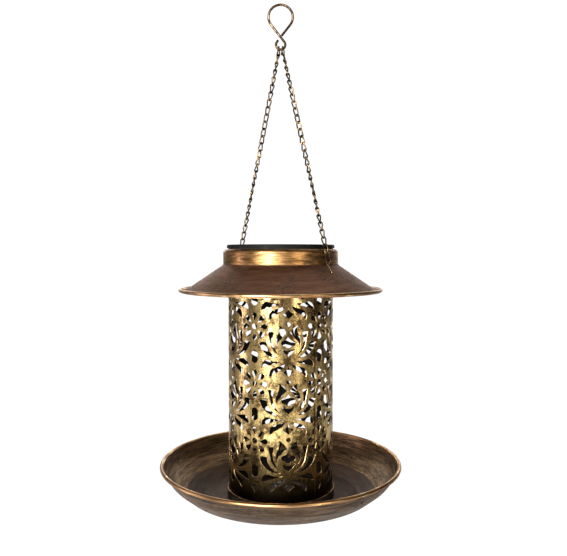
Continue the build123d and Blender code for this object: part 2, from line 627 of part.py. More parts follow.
def battery_contacts():
    """A flat spring plate at each end of the bay; the negative one carries a coil."""
    wall_x = BAY_X - BAY_WALL
    plate = (CONTACT_THICK, BATTERY_D * 0.62, BATTERY_D * 0.7)
    z = BATTERY_Z - plate[2] / 2
    minus = box(plate, (-wall_x + CONTACT_THICK / 2, BATTERY_Y, z))
    plus = box(plate, (wall_x - CONTACT_THICK / 2, BATTERY_Y, z))
    battery_end = 0.5 + (BATTERY_LENGTH - 1.0) / 2
    reach = wall_x - CONTACT_THICK - battery_end
    turns = 4
    coil_wire = 0.6
    coil = Helix(pitch=(reach - coil_wire) / turns, height=reach - coil_wire, radius=3.6, cone_angle=12)
    coil_solid = tube_along(coil, coil_wire)
    start_x = -wall_x + CONTACT_THICK + coil_wire / 2
    minus_coil = Pos(start_x, BATTERY_Y, BATTERY_Z) * Rot(0, 90, 0) * coil_solid
    nose_x = BATTERY_LENGTH / 2
    nose_length = wall_x - CONTACT_THICK - nose_x
    nose = Pos(nose_x, BATTERY_Y, BATTERY_Z) * Rot(0, 90, 0) * Cone(
        1.6, 3.0, nose_length, align=(MID, MID, UP))
    return (minus, minus_coil), plus + nose


def circuit():
    """Charger board under the lid with its chip and coil, and the LED and switch below it."""
    board = box(BOARD_SIZE, (0, BOARD_Y, BOARD_Z))
    for side in (-1, 1):
        board -= Pos(side * BOARD_SCREW_X, BOARD_Y) * disc(M2_D / 2 + FIT, 5, BOARD_Z - 1)
    top = BOARD_Z + BOARD_SIZE[2]
    chip = box((4.9, 3.9, 1.5), (-5, BOARD_Y - 3, top))
    coil = Pos(5.5, BOARD_Y - 3) * disc(2.2, 3.0, top)
    return board, (chip, coil)


def led():
    """Round LED, dome down through the cover, with its flange and two legs up to the board."""
    tip_z = SKIRT_FOOT_Z - 3.0
    flange_z = COVER_Z + 1.0
    body = Pos(LED_X, LED_Y) * disc(LED_D / 2, flange_z - tip_z - LED_D / 2, tip_z + LED_D / 2)
    dome = Pos(LED_X, LED_Y, tip_z + LED_D / 2) * Sphere(LED_D / 2)
    flange = Pos(LED_X, LED_Y) * disc(LED_D / 2 + 0.4, 1.0, flange_z)
    lamp = body + dome + flange
    for side in (-1, 1):
        lamp += box((0.5, 0.5, BOARD_Z - flange_z), (LED_X + side * 1.27, LED_Y, flange_z))
    return lamp


def switch():
    """Slide switch hung under the board; its slider pokes down through the cover's slot."""
    body_z = BOARD_Z - SWITCH_SIZE[2]
    body = box(SWITCH_SIZE, (SWITCH_X, SWITCH_Y, body_z))
    slot = (SLIDER_SIZE[0] + SLIDER_TRAVEL + 2 * FIT, SLIDER_SIZE[1] + 2 * FIT, 1.4)
    body -= box(slot, (SWITCH_X, SWITCH_Y, body_z))
    rest_x = SWITCH_X - SLIDER_TRAVEL / 2
    foot = SKIRT_FOOT_Z - 1.4
    slider = box((SLIDER_SIZE[0], SLIDER_SIZE[1], body_z + 1.2 - foot), (rest_x, SWITCH_Y, foot))
    return body, slider


def cell_leads():
    """Two insulated wires from under the cell to the board."""
    board_top = BOARD_Z + BOARD_SIZE[2]
    pocket_floor = LID_Z + LID_THICK - POCKET_DEPTH
    leads = []
    for side in (-1, 1):
        x = side * 1.4
        path = FilletPolyline(
            (x, LEAD_HOLE_Y, pocket_floor - FIT),
            (x, LEAD_HOLE_Y, pocket_floor - 5.0),
            (x, BOARD_Y + 2.6, board_top + 3.0),
            (x, BOARD_Y + 2.6, board_top),
            radius=2.0,
        )
        leads.append(tube_along(path, LEAD_D))
    return leads


def lamp_screws():
    """Three cover screws, two board screws and the door's own, all pan heads from below."""
    up_cover = [Pos(x, y, SKIRT_FOOT_Z) * pan_screw(M2_D, 8, 3.8, 1.3) for x, y in COVER_SCREW_SPOTS]
    board = [Pos(s * BOARD_SCREW_X, BOARD_Y, BOARD_Z) * pan_screw(M2_D, 5, 3.8, 1.3) for s in (-1, 1)]
    door = Pos(0, DOOR_SCREW_Y, SKIRT_FOOT_Z - DOOR_THICK) * pan_screw(M2_D, 6, 3.8, 1.3)
    return up_cover, board, door


# ---- write every node ---------------------------------------------------------------------------
os.makedirs("parts", exist_ok=True)
save("hanging_hook", hanging_hook())
save("top_links", top_link(-1), top_link(1))
save("left_chain", *chain(-1))
save("right_chain", *chain(1))
save("left_s_hook", s_hook(-1))
save("right_s_hook", s_hook(1))
save("roof", roof())
save("perforated_tube", perforated_tube())
save("base_cup", base_cup())
save("feed_tray", feed_tray())
tray_screw, tray_washers, tray_nut = tray_fasteners()
save("tray_screw", tray_screw)
save("tray_washers", *tray_washers)
save("tray_nut", tray_nut)
save("lamp_housing", lamp_housing())
save("lamp_seal", ring(LID_R - 1.5, MOUTH_R + 0.4, SEAL_THICK, COLLAR_TOP_Z))
pocket_floor_z = LID_Z + LID_THICK - POCKET_DEPTH
save("solar_cell", box((CELL_SIDE, CELL_SIDE, CELL_THICK), (0, 0, pocket_floor_z)))
window = box((WINDOW_SIDE, WINDOW_SIDE, WINDOW_THICK), (0, 0, LID_Z + LID_THICK - WINDOW_THICK))
save("solar_window", fillet(window.edges().filter_by(Axis.Z), 3.8))
save("lamp_cover", lamp_cover())
cover_screws, board_screws, door_screw = lamp_screws()
save("cover_screws", *cover_screws)
save("board_screws", *board_screws)
save("door_screw", door_screw)
board_plate, board_parts = circuit()
save("circuit_board", board_plate)
save("board_parts", *board_parts)
save("led", led())
save("battery", battery())
battery_spring, battery_plate = battery_contacts()
save("battery_spring", *battery_spring)
save("battery_plate", battery_plate)
save("battery_door", battery_door())
switch_body, switch_slider = switch()
save("switch_body", switch_body)
save("switch_slider", switch_slider)
save("cell_leads", *cell_leads())
for which, side in (("left", -1), ("right", 1)):
    print(which, "chain links", chain_points(side)[2], "junction", top_link_points(side)[1])
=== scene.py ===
import json
from math import acos, atan2, ceil, cos, hypot, pi, radians, sin, tan

import bmesh
import bpy
from mathutils import Matrix, Vector

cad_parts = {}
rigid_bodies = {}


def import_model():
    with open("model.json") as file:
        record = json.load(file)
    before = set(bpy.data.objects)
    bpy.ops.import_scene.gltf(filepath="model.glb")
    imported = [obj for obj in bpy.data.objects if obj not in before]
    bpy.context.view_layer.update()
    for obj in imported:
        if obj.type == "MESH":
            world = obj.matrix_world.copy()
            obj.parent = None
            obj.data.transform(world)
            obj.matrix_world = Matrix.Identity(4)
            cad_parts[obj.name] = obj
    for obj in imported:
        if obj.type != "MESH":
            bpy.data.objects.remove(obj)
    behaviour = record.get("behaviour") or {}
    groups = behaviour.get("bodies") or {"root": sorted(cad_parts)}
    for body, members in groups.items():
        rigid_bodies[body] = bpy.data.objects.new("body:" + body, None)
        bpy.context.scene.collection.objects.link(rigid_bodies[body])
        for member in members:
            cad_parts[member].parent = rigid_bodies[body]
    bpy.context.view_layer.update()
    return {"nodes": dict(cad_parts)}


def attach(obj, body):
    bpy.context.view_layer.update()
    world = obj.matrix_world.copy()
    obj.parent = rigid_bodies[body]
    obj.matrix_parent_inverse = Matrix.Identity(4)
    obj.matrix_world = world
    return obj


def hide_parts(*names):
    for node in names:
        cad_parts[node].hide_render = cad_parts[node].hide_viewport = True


for leftover in list(bpy.data.objects):
    bpy.data.objects.remove(leftover)
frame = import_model()
MM = 0.001

# ---- Hanging hook -------------------------------------------------------------------------------
# One length of hard steel wire, bent cold round two pegs and plated antique bronze: a teardrop loop
# above for the branch, and a small open eye below for the chains.
HOOK_WIRE = 2.4 * MM
HOOK_LOOP_R = 12.0 * MM
HOOK_EYE_R = 4.6 * MM
HOOK_LENGTH = 26.8 * MM
HOOK_END_GAP = 0.1 * MM
HOOK_EYE_CLOSE = radians(35.0)
HOOK_TIP = 2.4 * MM
WIRE_SIDES = 14
WIRE_END_STEPS = ((0.8, 0.16), (0.45, 0.1))


def start_wire(bm, at, heading, thick, sides=WIRE_SIDES):
    """First ring of a round wire, square to its heading."""
    place = Matrix.Translation(at) @ heading.to_track_quat("Z", "Y").to_matrix().to_4x4()
    ring = bmesh.ops.create_circle(bm, cap_ends=False, radius=thick / 2, segments=sides, matrix=place)
    return sorted({edge for vert in ring["verts"] for edge in vert.link_edges}, key=lambda edge: edge.index)


def run_wire(bm, ring, step):
    """Carry the ring straight on."""
    drawn = bmesh.ops.extrude_edge_only(bm, edges=ring)["geom"]
    bmesh.ops.translate(bm, vec=step, verts=[part for part in drawn if isinstance(part, bmesh.types.BMVert)])
    return [part for part in drawn if isinstance(part, bmesh.types.BMEdge)]


def bend_wire(bm, ring, centre, axis, angle, degrees_each=8.0):
    """Carry the ring round a peg."""
    corners = sorted({vert for edge in ring for vert in edge.verts}, key=lambda vert: vert.index)
    steps = max(2, ceil(angle / radians(degrees_each)))
    spun = bmesh.ops.spin(bm, geom=ring + corners, cent=centre, axis=axis, angle=angle, steps=steps,
                          use_merge=False, use_duplicate=False)
    return [part for part in spun["geom_last"] if isinstance(part, bmesh.types.BMEdge)]


def round_wire_end(bm, ring, heading, thick):
    """Close a snipped end with a small rounded cap, each step a share of its width and a move onward."""
    for share, onward in WIRE_END_STEPS:
        ring = run_wire(bm, ring, heading * thick * onward)
        verts = list({vert for edge in ring for vert in edge.verts})
        middle = sum((vert.co for vert in verts), Vector()) / len(verts)
        narrow = share * thick / 2 / (verts[0].co - middle).length
        bmesh.ops.scale(bm, vec=(narrow,) * 3, space=Matrix.Translation(-middle), verts=verts)
    bmesh.ops.edgeloop_fill(bm, edges=ring)


def finished_piece(name, bm, materials, smooth_angle=40.0):
    """Close seams, face outwards and make the piece, smooth but for its sharp edges."""
    bmesh.ops.remove_doubles(bm, verts=bm.verts, dist=1e-6)
    bmesh.ops.recalc_face_normals(bm, faces=bm.faces)
    mesh = bpy.data.meshes.new(name)
    bm.to_mesh(mesh)
    bm.free()
    mesh.shade_smooth()
    mesh.set_sharp_from_angle(angle=radians(smooth_angle))
    piece = bpy.data.objects.new(name, mesh)
    bpy.context.scene.collection.objects.link(piece)
    for material in materials:
        mesh.materials.append(material)
    return piece


def new_material(name):
    """A material with its Principled shader, and short ways to add and join nodes."""
    material = bpy.data.materials.new(name)
    material.use_nodes = True
    return material, material.node_tree, material.node_tree.nodes["Principled BSDF"]


def group_sockets(tree, inputs, outputs):
    """Give a node group its named sockets; returns its input and output nodes."""
    for socket, kind, value in inputs:
        made = tree.interface.new_socket(socket, in_out="INPUT", socket_type="NodeSocket" + kind)
        if value is not None:
            made.default_value = value
    for socket, kind in outputs:
        tree.interface.new_socket(socket, in_out="OUTPUT", socket_type="NodeSocket" + kind)
    return tree.nodes.new("NodeGroupInput"), tree.nodes.new("NodeGroupOutput")


def feed(tree, given, socket):
    """Join another node's output to a socket, or set a plain value."""
    if isinstance(given, bpy.types.NodeSocket):
        tree.links.new(given, socket)
    else:
        socket.default_value = given


def mixed(tree, factor, first, second):
    """A colour Mix node; each argument is a value or a socket."""
    mix = tree.nodes.new("ShaderNodeMix")
    mix.data_type = "RGBA"
    for socket, given in ((mix.inputs[0], factor), (mix.inputs[6], first), (mix.inputs[7], second)):
        feed(tree, given, socket)
    return mix.outputs[2]


def worked(tree, operation, *given, clamp=False):
    """A Math node; each argument is a value or a socket."""
    node = tree.nodes.new("ShaderNodeMath")
    node.operation = operation
    node.use_clamp = clamp
    for socket, value in zip(node.inputs, given):
        feed(tree, value, socket)
    return node.outputs[0]


def ranged(tree, value, low, high, to_low=0.0, to_high=1.0):
    """A soft step from one number to another as the value goes from low to high."""
    node = tree.nodes.new("ShaderNodeMapRange")
    node.interpolation_type = "SMOOTHSTEP"
    for socket, number in zip(node.inputs[1:5], (low, high, to_low, to_high)):
        feed(tree, number, socket)
    tree.links.new(value, node.inputs[0])
    return node.outputs[0]


def noise(tree, vector, scale, detail=3.0, roughness=0.55):
    node = tree.nodes.new("ShaderNodeTexNoise")
    tree.links.new(vector, node.inputs["Vector"])
    for socket, value in (("Scale", scale), ("Detail", detail), ("Roughness", roughness)):
        feed(tree, value, node.inputs[socket])
    return node.outputs["Fac"]


def bump_normal(tree, height, strength, distance):
    node = tree.nodes.new("ShaderNodeBump")
    node.inputs["Strength"].default_value = strength
    node.inputs["Distance"].default_value = distance
    tree.links.new(height, node.inputs["Height"])
    return node.outputs["Normal"]


# Antique plating: a dark brown coat with the metal's own colour rubbed through it in soft patches.
rubbed_plating = bpy.data.node_groups.new("rubbed_plating", "ShaderNodeTree")
given, made = group_sockets(
    rubbed_plating,
    [("Place", "Vector", None), ("Dark", "Color", (0.05, 0.03, 0.015, 1)),
     ("Rubbed", "Color", (0.6, 0.4, 0.2, 1)), ("Patch Scale", "Float", 300.0),
     ("Rubbed Share", "Float", 0.5)],
    [("Color", "Color"), ("Rub", "Float"), ("Height", "Float")])
broad = noise(rubbed_plating, given.outputs["Place"], given.outputs["Patch Scale"], 4.0, 0.6)
grain_scale = worked(rubbed_plating, "MULTIPLY", given.outputs["Patch Scale"], 7.0)
grain = noise(rubbed_plating, given.outputs["Place"], grain_scale, 2.0, 0.6)
both = worked(rubbed_plating, "ADD", worked(rubbed_plating, "MULTIPLY", broad, 0.72),
              worked(rubbed_plating, "MULTIPLY", grain, 0.28))
edge = worked(rubbed_plating, "SUBTRACT", 1.0, given.outputs["Rubbed Share"])
low = worked(rubbed_plating, "ADD", worked(rubbed_plating, "MULTIPLY", edge, 0.4), 0.22)
rub = ranged(rubbed_plating, both, low, worked(rubbed_plating, "ADD", low, 0.2))
rubbed_plating.links.new(mixed(rubbed_plating, rub, given.outputs["Dark"], given.outputs["Rubbed"]),
                         made.inputs["Color"])
rubbed_plating.links.new(rub, made.inputs["Rub"])
rubbed_plating.links.new(grain, made.inputs["Height"])


def placed_group(tree, group, values):
    node = tree.nodes.new("ShaderNodeGroup")
    node.node_tree = group
    for socket, value in values.items():
        feed(tree, value, node.inputs[socket])
    return node


def wire_bronze(name, dark, rubbed, share, scale):
    """Antique bronze plating on wire: dark in the hollows, brassy where it rubs."""
    material, tree, shader = new_material(name)
    place = tree.nodes.new("ShaderNodeTexCoord").outputs["Object"]
    plating = placed_group(tree, rubbed_plating, {
        "Place": place, "Dark": dark, "Rubbed": rubbed, "Patch Scale": scale, "Rubbed Share": share})
    tree.links.new(plating.outputs["Color"], shader.inputs["Base Color"])
    tree.links.new(ranged(tree, plating.outputs["Rub"], 0.0, 1.0, 0.34, 0.22), shader.inputs["Roughness"])
    shader.inputs["Metallic"].default_value = 1.0
    tree.links.new(bump_normal(tree, plating.outputs["Height"], 0.35, 0.0002), shader.inputs["Normal"])
    return material


hook_bronze = wire_bronze("hook_bronze", (0.040, 0.024, 0.014, 1), (0.36, 0.25, 0.14, 1), 0.4, 75.0)

loop_middle = Vector((0, 0, HOOK_WIRE / 2 - HOOK_LOOP_R))
eye_middle = loop_middle - Vector((0, 0, HOOK_LENGTH))
lean = acos((HOOK_LOOP_R + HOOK_EYE_R) / HOOK_LENGTH)
loop_right = loop_middle + Vector((sin(lean), 0, -cos(lean))) * HOOK_LOOP_R
loop_left = loop_middle + Vector((-sin(lean), 0, -cos(lean))) * HOOK_LOOP_R
eye_right = eye_middle + Vector((sin(lean), 0, cos(lean))) * HOOK_EYE_R
across = (eye_right - loop_left).normalized()
free_leg = Vector((-across.x, 0, across.z))
between = pi - 2 * lean
short = (HOOK_WIRE / 2 * (1 + cos(between)) + HOOK_END_GAP) / sin(between)
free_length = loop_right.x / across.x - short
free_end = loop_right + free_leg * free_length
wire = bmesh.new()
ring = start_wire(wire, free_end, -free_leg, HOOK_WIRE)
first_ring = ring
ring = run_wire(wire, ring, loop_right - free_end)
ring = bend_wire(wire, ring, loop_middle, (0, -1, 0), 2 * pi - 2 * lean)
ring = run_wire(wire, ring, eye_right - loop_left)
ring = bend_wire(wire, ring, eye_middle, (0, 1, 0), pi / 2 - lean + pi + HOOK_EYE_CLOSE)
onward = Vector((sin(HOOK_EYE_CLOSE), 0, cos(HOOK_EYE_CLOSE)))
ring = run_wire(wire, ring, onward * (HOOK_TIP - HOOK_WIRE * sum(step for _, step in WIRE_END_STEPS)))
round_wire_end(wire, ring, onward, HOOK_WIRE)
bmesh.ops.edgeloop_fill(wire, edges=first_ring)
hook = finished_piece("hook_wire", wire, [hook_bronze])
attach(hook, "hook")
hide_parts("hanging_hook")

# ---- Chains -------------------------------------------------------------------------------------
# Two runs of light curb chain.  Each link is bent from 1.4 mm wire and given most of a quarter twist,
# and each run goes from a first link on the hook's eye down to the ring of an S hook.
CHAIN_WIRE = 1.4 * MM
LINK_WIDTH = 6.0 * MM
LINK_PITCH = 7.35 * MM
LINK_TWIST = radians(78.0)
LINK_PLAY = 0.15 * MM
TOP_LINK_SPREAD = 1.75 * MM
TOP_LINK_PLAY = 0.45 * MM
TOP_LINK_LEAN = 0.3
FIRST_LINK_GAP = 0.25 * MM
LINK_HALF = (LINK_WIDTH - CHAIN_WIRE) / 2
LINK_LENGTH = LINK_PITCH + CHAIN_WIRE + LINK_PLAY
LINK_CORNER_R = LINK_HALF * 0.89
CHAIN_SIDE = Vector((sin(radians(45)), -cos(radians(45)), 0))
TUBE_R = 52.1 * MM
COLLAR_TOP = -238.4 * MM
COLLAR_R = 57.1 * MM
COLLAR_FOOT = COLLAR_TOP - 15.4 * MM
CONE_SLOPE = radians(34.2)
S_WIRE = 1.6 * MM
S_UPPER_R = 2.5 * MM
S_LOWER_R = 2.6 * MM
S_REACH = COLLAR_R + LINK_WIDTH / 2 + 2.9 * MM
S_HEIGHT = COLLAR_FOOT + 3.4 * MM


def bent_link(twist, start=0.0):
    """One closed link hanging down from the origin, its lower end twisted from its upper one."""
    corners = []
    for height, turn, sides in ((0, start, (-1, 1)), (-LINK_LENGTH, start + twist, (1, -1))):
        for side in sides:
            corners.append(Vector((side * LINK_HALF * cos(turn), side * LINK_HALF * sin(turn), height)))
    bm = bmesh.new()
    begin = (corners[3] + corners[0]) / 2
    at = begin
    heading = (corners[0] - at).normalized()
    ring = first = start_wire(bm, at, heading, CHAIN_WIRE, 10)
    for index, corner in enumerate(corners):
        onward = (corners[(index + 1) % 4] - corner).normalized()
        turn = heading.angle(onward)
        short = LINK_CORNER_R * tan(turn / 2)
        ring = run_wire(bm, ring, corner - heading * short - at)
        axis = heading.cross(onward).normalized()
        peg = corner - heading * short + axis.cross(heading) * LINK_CORNER_R
        ring = bend_wire(bm, ring, peg, axis, turn, 18.0)
        at = corner + onward * short
        heading = onward
    bmesh.ops.bridge_loops(bm, edges=ring + first)
    mesh = bpy.data.meshes.new("link")
    bm.to_mesh(mesh)
    bm.free()
    return mesh


def hung_between(top, bottom):
    """Place whose -Z points from top to bottom, with X kept level."""
    down = (bottom - top).normalized()
    level = Vector((0, 0, 1)).cross(down).normalized()
    turned = Matrix((level, (-down).cross(level), -down)).transposed()
    return Matrix.Translation(top) @ turned.to_4x4()


def turn_about(place, direction):
    """Angle of a direction about the place's own Z."""
    return atan2(direction.dot(place.col[1].xyz), direction.dot(place.col[0].xyz))


def top_link_ends(side):
    """Where a top link hangs on the eye, and where the chain below hangs on it."""
    x = side * TOP_LINK_SPREAD
    foot = CHAIN_SIDE * (side * (LINK_WIDTH / 2 + FIRST_LINK_GAP))
    astride = Vector((x, -TOP_LINK_LEAN * foot.y, 0))
    wire_height = eye_middle.z - (HOOK_EYE_R ** 2 - x ** 2) ** 0.5
    top = astride + Vector((0, 0, wire_height + (HOOK_WIRE + CHAIN_WIRE) / 2 + TOP_LINK_PLAY))
    drop = (LINK_LENGTH ** 2 - (foot - astride).length ** 2) ** 0.5
    return top, Vector((foot.x, foot.y, top.z - drop))


chain_bronze = wire_bronze("chain_bronze", (0.034, 0.021, 0.012, 1), (0.44, 0.30, 0.15, 1), 0.4, 150.0)
first_links = bmesh.new()
for side in (-1, 1):
    top, bottom = top_link_ends(side)
    place = hung_between(top, bottom)
    start = turn_about(place, Vector((0, 1, 0)))
    twist = (turn_about(place, CHAIN_SIDE) - start) % pi
    link = bent_link(twist if twist <= pi / 2 else twist - pi, start)
    link.transform(place)
    first_links.from_mesh(link)
top_links = finished_piece("first_links", first_links, [chain_bronze])
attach(top_links, "top_links")
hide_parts("top_links")

for side, name in ((-1, "left_chain"), (1, "right_chain")):
    start = top_link_ends(side)[1] + Vector((0, 0, CHAIN_WIRE + LINK_PLAY))
    slack = S_UPPER_R - (S_WIRE + CHAIN_WIRE) / 2 - LINK_PLAY
    end = CHAIN_SIDE * (side * S_REACH) + Vector((0, 0, S_HEIGHT + slack))
    count = round(((end - start).length - LINK_LENGTH) / LINK_PITCH) + 1
    pitch = ((end - start).length - LINK_LENGTH) / (count - 1)
    place = hung_between(start, end)
    facing = turn_about(place, Vector((0, 0, 1)).cross(CHAIN_SIDE))
    half_turns = round(((LINK_TWIST - pi / 2) * (count - 1) + LINK_TWIST) / pi)
    step = (pi * half_turns - LINK_TWIST) / (count - 1)
    run = bmesh.new()
    for number in range(count):
        link = bent_link(LINK_TWIST)
        link.transform(place @ Matrix.Translation((0, 0, -pitch * number))
                       @ Matrix.Rotation(facing + step * number, 4, "Z"))
        run.from_mesh(link)
    chain = finished_piece(name + "_links", run, [chain_bronze])
    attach(chain, "bail")
    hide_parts(name)

# ---- S hooks ------------------------------------------------------------------------------------
# A short wire bent into a ring round the chain's last link, a shank lying down the cone, and a second
# ring through the hole in the roof.
ROOF_SHEET = 0.7 * MM
HOLE_REACH = S_REACH + 4.6 * MM
S_LOWER_TURN = radians(205)
S_UPPER_TURN = radians(295)
S_LOWER_BACK = 0.86 * S_LOWER_R
S_LOWER_IN = 0.5 * S_LOWER_R


def cone_height(reach):
    """Height of the cone's outer face at a distance from the axis."""
    return COLLAR_FOOT - (reach - COLLAR_R) * tan(CONE_SLOPE)


for side, name in ((-1, "left_s_hook"), (1, "right_s_hook")):
    outward = Vector((sin(CONE_SLOPE), 0, cos(CONE_SLOPE)))
    down_slope = Vector((cos(CONE_SLOPE), 0, -sin(CONE_SLOPE)))
    upper = Vector((S_REACH, 0, S_HEIGHT))
    hole = Vector((HOLE_REACH, 0, cone_height(HOLE_REACH))) - outward * (ROOF_SHEET / 2)
    lower = hole - down_slope * S_LOWER_BACK - outward * S_LOWER_IN
    between = lower - upper
    leave = atan2(between.z, between.x) - acos((S_UPPER_R + S_LOWER_R) / between.length)
    spoke = Vector((cos(leave), 0, sin(leave)))
    shank = (lower - spoke * S_LOWER_R) - (upper + spoke * S_UPPER_R)
    bm = bmesh.new()
    first = start_wire(bm, upper + spoke * S_UPPER_R, shank.normalized(), S_WIRE, 12)
    ring = run_wire(bm, first, shank)
    ring = bend_wire(bm, ring, lower, (0, 1, 0), S_LOWER_TURN)
    tip = spoke.copy()
    tip.rotate(Matrix.Rotation(S_LOWER_TURN, 3, "Y"))
    round_wire_end(bm, ring, Vector((0, 1, 0)).cross(-tip), S_WIRE)
    ring = bend_wire(bm, first, upper, (0, 1, 0), S_UPPER_TURN)
    tip = spoke.copy()
    tip.rotate(Matrix.Rotation(S_UPPER_TURN, 3, "Y"))
    round_wire_end(bm, ring, Vector((0, 1, 0)).cross(tip), S_WIRE)
    facing = atan2(side * CHAIN_SIDE.y, side * CHAIN_SIDE.x)
    bmesh.ops.rotate(bm, cent=(0, 0, 0), matrix=Matrix.Rotation(facing, 3, "Z"), verts=bm.verts)
    s_hook = finished_piece(name + "_wire", bm, [chain_bronze])
    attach(s_hook, "bail")
    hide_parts(name)

# ---- Roof ---------------------------------------------------------------------------------------
# One disc of steel spun over a form: a collar with a soft shoulder, a plain cone, a shallow gutter and
# a brim rolled over into a bead.  Plated dark bronze and brushed round while it turned.
COLLAR_CORNER_R = 4.0 * MM
COLLAR_FOOT_BEND = 3.0 * MM
MOUTH_R = 48.0 * MM
CONE_REACH = 35.4 * MM
CONE_FOOT_R = COLLAR_R + CONE_REACH
CONE_FOOT = COLLAR_FOOT - CONE_REACH * tan(CONE_SLOPE)
GUTTER_BEND = 3.0 * MM
BRIM_BEND = 1.5 * MM
GUTTER_R = CONE_FOOT_R + 3.5 * MM
GUTTER_DROP = 1.9 * MM
BRIM_R = GUTTER_R + 4.9 * MM
BRIM_BEAD_R = 1.8 * MM
BRIM_BEAD_RISE = 0.8 * MM
BRIM_CURL = radians(310)
CURL_STEPS = 24
LUG_COUNT = 3
LOCK_TURN = 25.0
LUG_NOTCH = (5.6 * MM, 13.4 * MM, 4 * MM)
LUG_NOTCH_IN = 0.9 * MM
S_HOLE_R = 2.5 * MM
S_HOLE_CUT = 6 * MM
SEAL_GAP = 0.02 * MM
RIM_FINISH_R = GUTTER_R + 0.6 * MM
COLLAR_FINISH_FOOT = COLLAR_FOOT + 0.8 * MM


def rounded_run(corners, radii, each=radians(7.0)):
    """Points along a run of (radius, height) corners, the inner ones turned on the given radii."""
    points = [Vector(corners[0])]
    for index, radius in enumerate(radii, 1):
        corner = Vector(corners[index])
        before = (Vector(corners[index - 1]) - corner).normalized()
        after = (Vector(corners[index + 1]) - corner).normalized()
        half = before.angle(after) / 2
        middle = corner + (before + after).normalized() * (radius / sin(half))
        begin = corner + before * (radius / tan(half)) - middle
        end = corner + after * (radius / tan(half)) - middle
        turn = begin.angle_signed(end)
        steps = max(2, ceil(abs(turn) / each))
        for number in range(steps + 1):
            spoke = begin.copy()
            spoke.rotate(Matrix.Rotation(-turn * number / steps, 2))
            points.append(middle + spoke)
    points.append(Vector(corners[-1]))
    return points


def curled(middle, start, radius, turn, steps, first=1):
    """Points round a rolled edge, its start given as the way from its middle."""
    points = []
    for number in range(first, steps + 1):
        spoke = Vector(start)
        spoke.rotate(Matrix.Rotation(turn * number / steps, 2))
        points.append(middle + spoke * radius)
    return points


def spun_sheet(points, sheet, around=160):
    """A sheet's middle line given its thickness both ways and spun about the lantern's axis."""
    front, back = [], []
    for before, point, after in zip(points[:1] + points, points, points[1:] + points[-1:]):
        along = (after - before).normalized()
        square = Vector((-along.y, along.x)) * (sheet / 2)
        front.append(point + square)
        back.insert(0, point - square)
    bm = bmesh.new()
    line = [bm.verts.new((point.x, 0, point.y)) for point in front + back]
    edges = [bm.edges.new(pair) for pair in zip(line, line[1:] + line[:1])]
    bmesh.ops.spin(bm, geom=line + edges, cent=(0, 0, 0), axis=(0, 0, 1), angle=2 * pi, steps=around,
                   use_merge=True, use_duplicate=False)
    return bm


def cut_through(piece, cutters):
    """Take the cutters' shapes out of a piece for good."""
    for cutter in cutters:
        mesh = bpy.data.meshes.new("cutter")
        cutter.to_mesh(mesh)
        cutter.free()
        tool = bpy.data.objects.new("cutter", mesh)
        bpy.context.scene.collection.objects.link(tool)
        boolean = piece.modifiers.new("cut", "BOOLEAN")
        boolean.object = tool
        boolean.solver = "EXACT"
        cut = bpy.data.meshes.new_from_object(piece.evaluated_get(bpy.context.evaluated_depsgraph_get()))
        piece.modifiers.clear()
        piece.data = cut
        bpy.data.objects.remove(tool)


# Coordinates that follow the spinning: nearly constant round the axis, quick across it.
turning_place = bpy.data.node_groups.new("turning_place", "ShaderNodeTree")
given, made = group_sockets(
    turning_place,
    [("Place", "Vector", None), ("Round", "Float", 6.0), ("Across", "Float", 1500.0),
     ("Lean", "Float", -1.3)],
    [("Vector", "Vector")])
parts = turning_place.nodes.new("ShaderNodeSeparateXYZ")
turning_place.links.new(given.outputs["Place"], parts.inputs[0])
radius = worked(turning_place, "SQRT", worked(
    turning_place, "ADD", worked(turning_place, "MULTIPLY", parts.outputs["X"], parts.outputs["X"]),
    worked(turning_place, "MULTIPLY", parts.outputs["Y"], parts.outputs["Y"])))
safe = worked(turning_place, "MAXIMUM", radius, 0.0001)
joined = turning_place.nodes.new("ShaderNodeCombineXYZ")
for axis in ("X", "Y"):
    direction = worked(turning_place, "MULTIPLY", worked(turning_place, "DIVIDE", parts.outputs[axis], safe),
                       given.outputs["Round"])
    turning_place.links.new(direction, joined.inputs[axis])
leaned = worked(turning_place, "MULTIPLY", parts.outputs["Z"], given.outputs["Lean"])
crosswise = worked(turning_place, "MULTIPLY", worked(turning_place, "ADD", radius, leaned),
                   given.outputs["Across"])
turning_place.links.new(crosswise, joined.inputs["Z"])
turning_place.links.new(joined.outputs[0], made.inputs["Vector"])

# Brushed antique bronze: turned streaks, worn patches and dark flecks left in the pits.
brushed_antique = bpy.data.node_groups.new("brushed_antique", "ShaderNodeTree")
given, made = group_sockets(
    brushed_antique,
    [("Place", "Vector", None), ("Dark", "Color", (0.05, 0.03, 0.015, 1)),
     ("Mid", "Color", (0.2, 0.1, 0.05, 1)), ("Bright", "Color", (0.6, 0.4, 0.2, 1)),
     ("Streaks", "Float", 0.5), ("Worn", "Float", 0.4),
     ("Flecks", "Float", 0.4), ("Round", "Float", 6.0), ("Lean", "Float", -1.3)],
    [("Color", "Color"), ("Wear", "Float"), ("Fleck", "Float"), ("Height", "Float")])
tree = brushed_antique
fine_place = placed_group(tree, turning_place, {
    "Place": given.outputs["Place"], "Round": given.outputs["Round"], "Across": 900.0,
    "Lean": given.outputs["Lean"]})
broad_place = placed_group(tree, turning_place, {
    "Place": given.outputs["Place"], "Round": 2.2, "Across": 160.0, "Lean": given.outputs["Lean"]})
fine = noise(tree, fine_place.outputs["Vector"], 1.0, 3.0, 0.6)
broad = noise(tree, broad_place.outputs["Vector"], 1.0, 4.0, 0.6)
patches = noise(tree, given.outputs["Place"], 55.0, 5.0, 0.6)
streak = ranged(tree, worked(tree, "ADD", worked(tree, "MULTIPLY", fine, 0.55),
                             worked(tree, "MULTIPLY", broad, 0.45)), 0.40, 0.62)
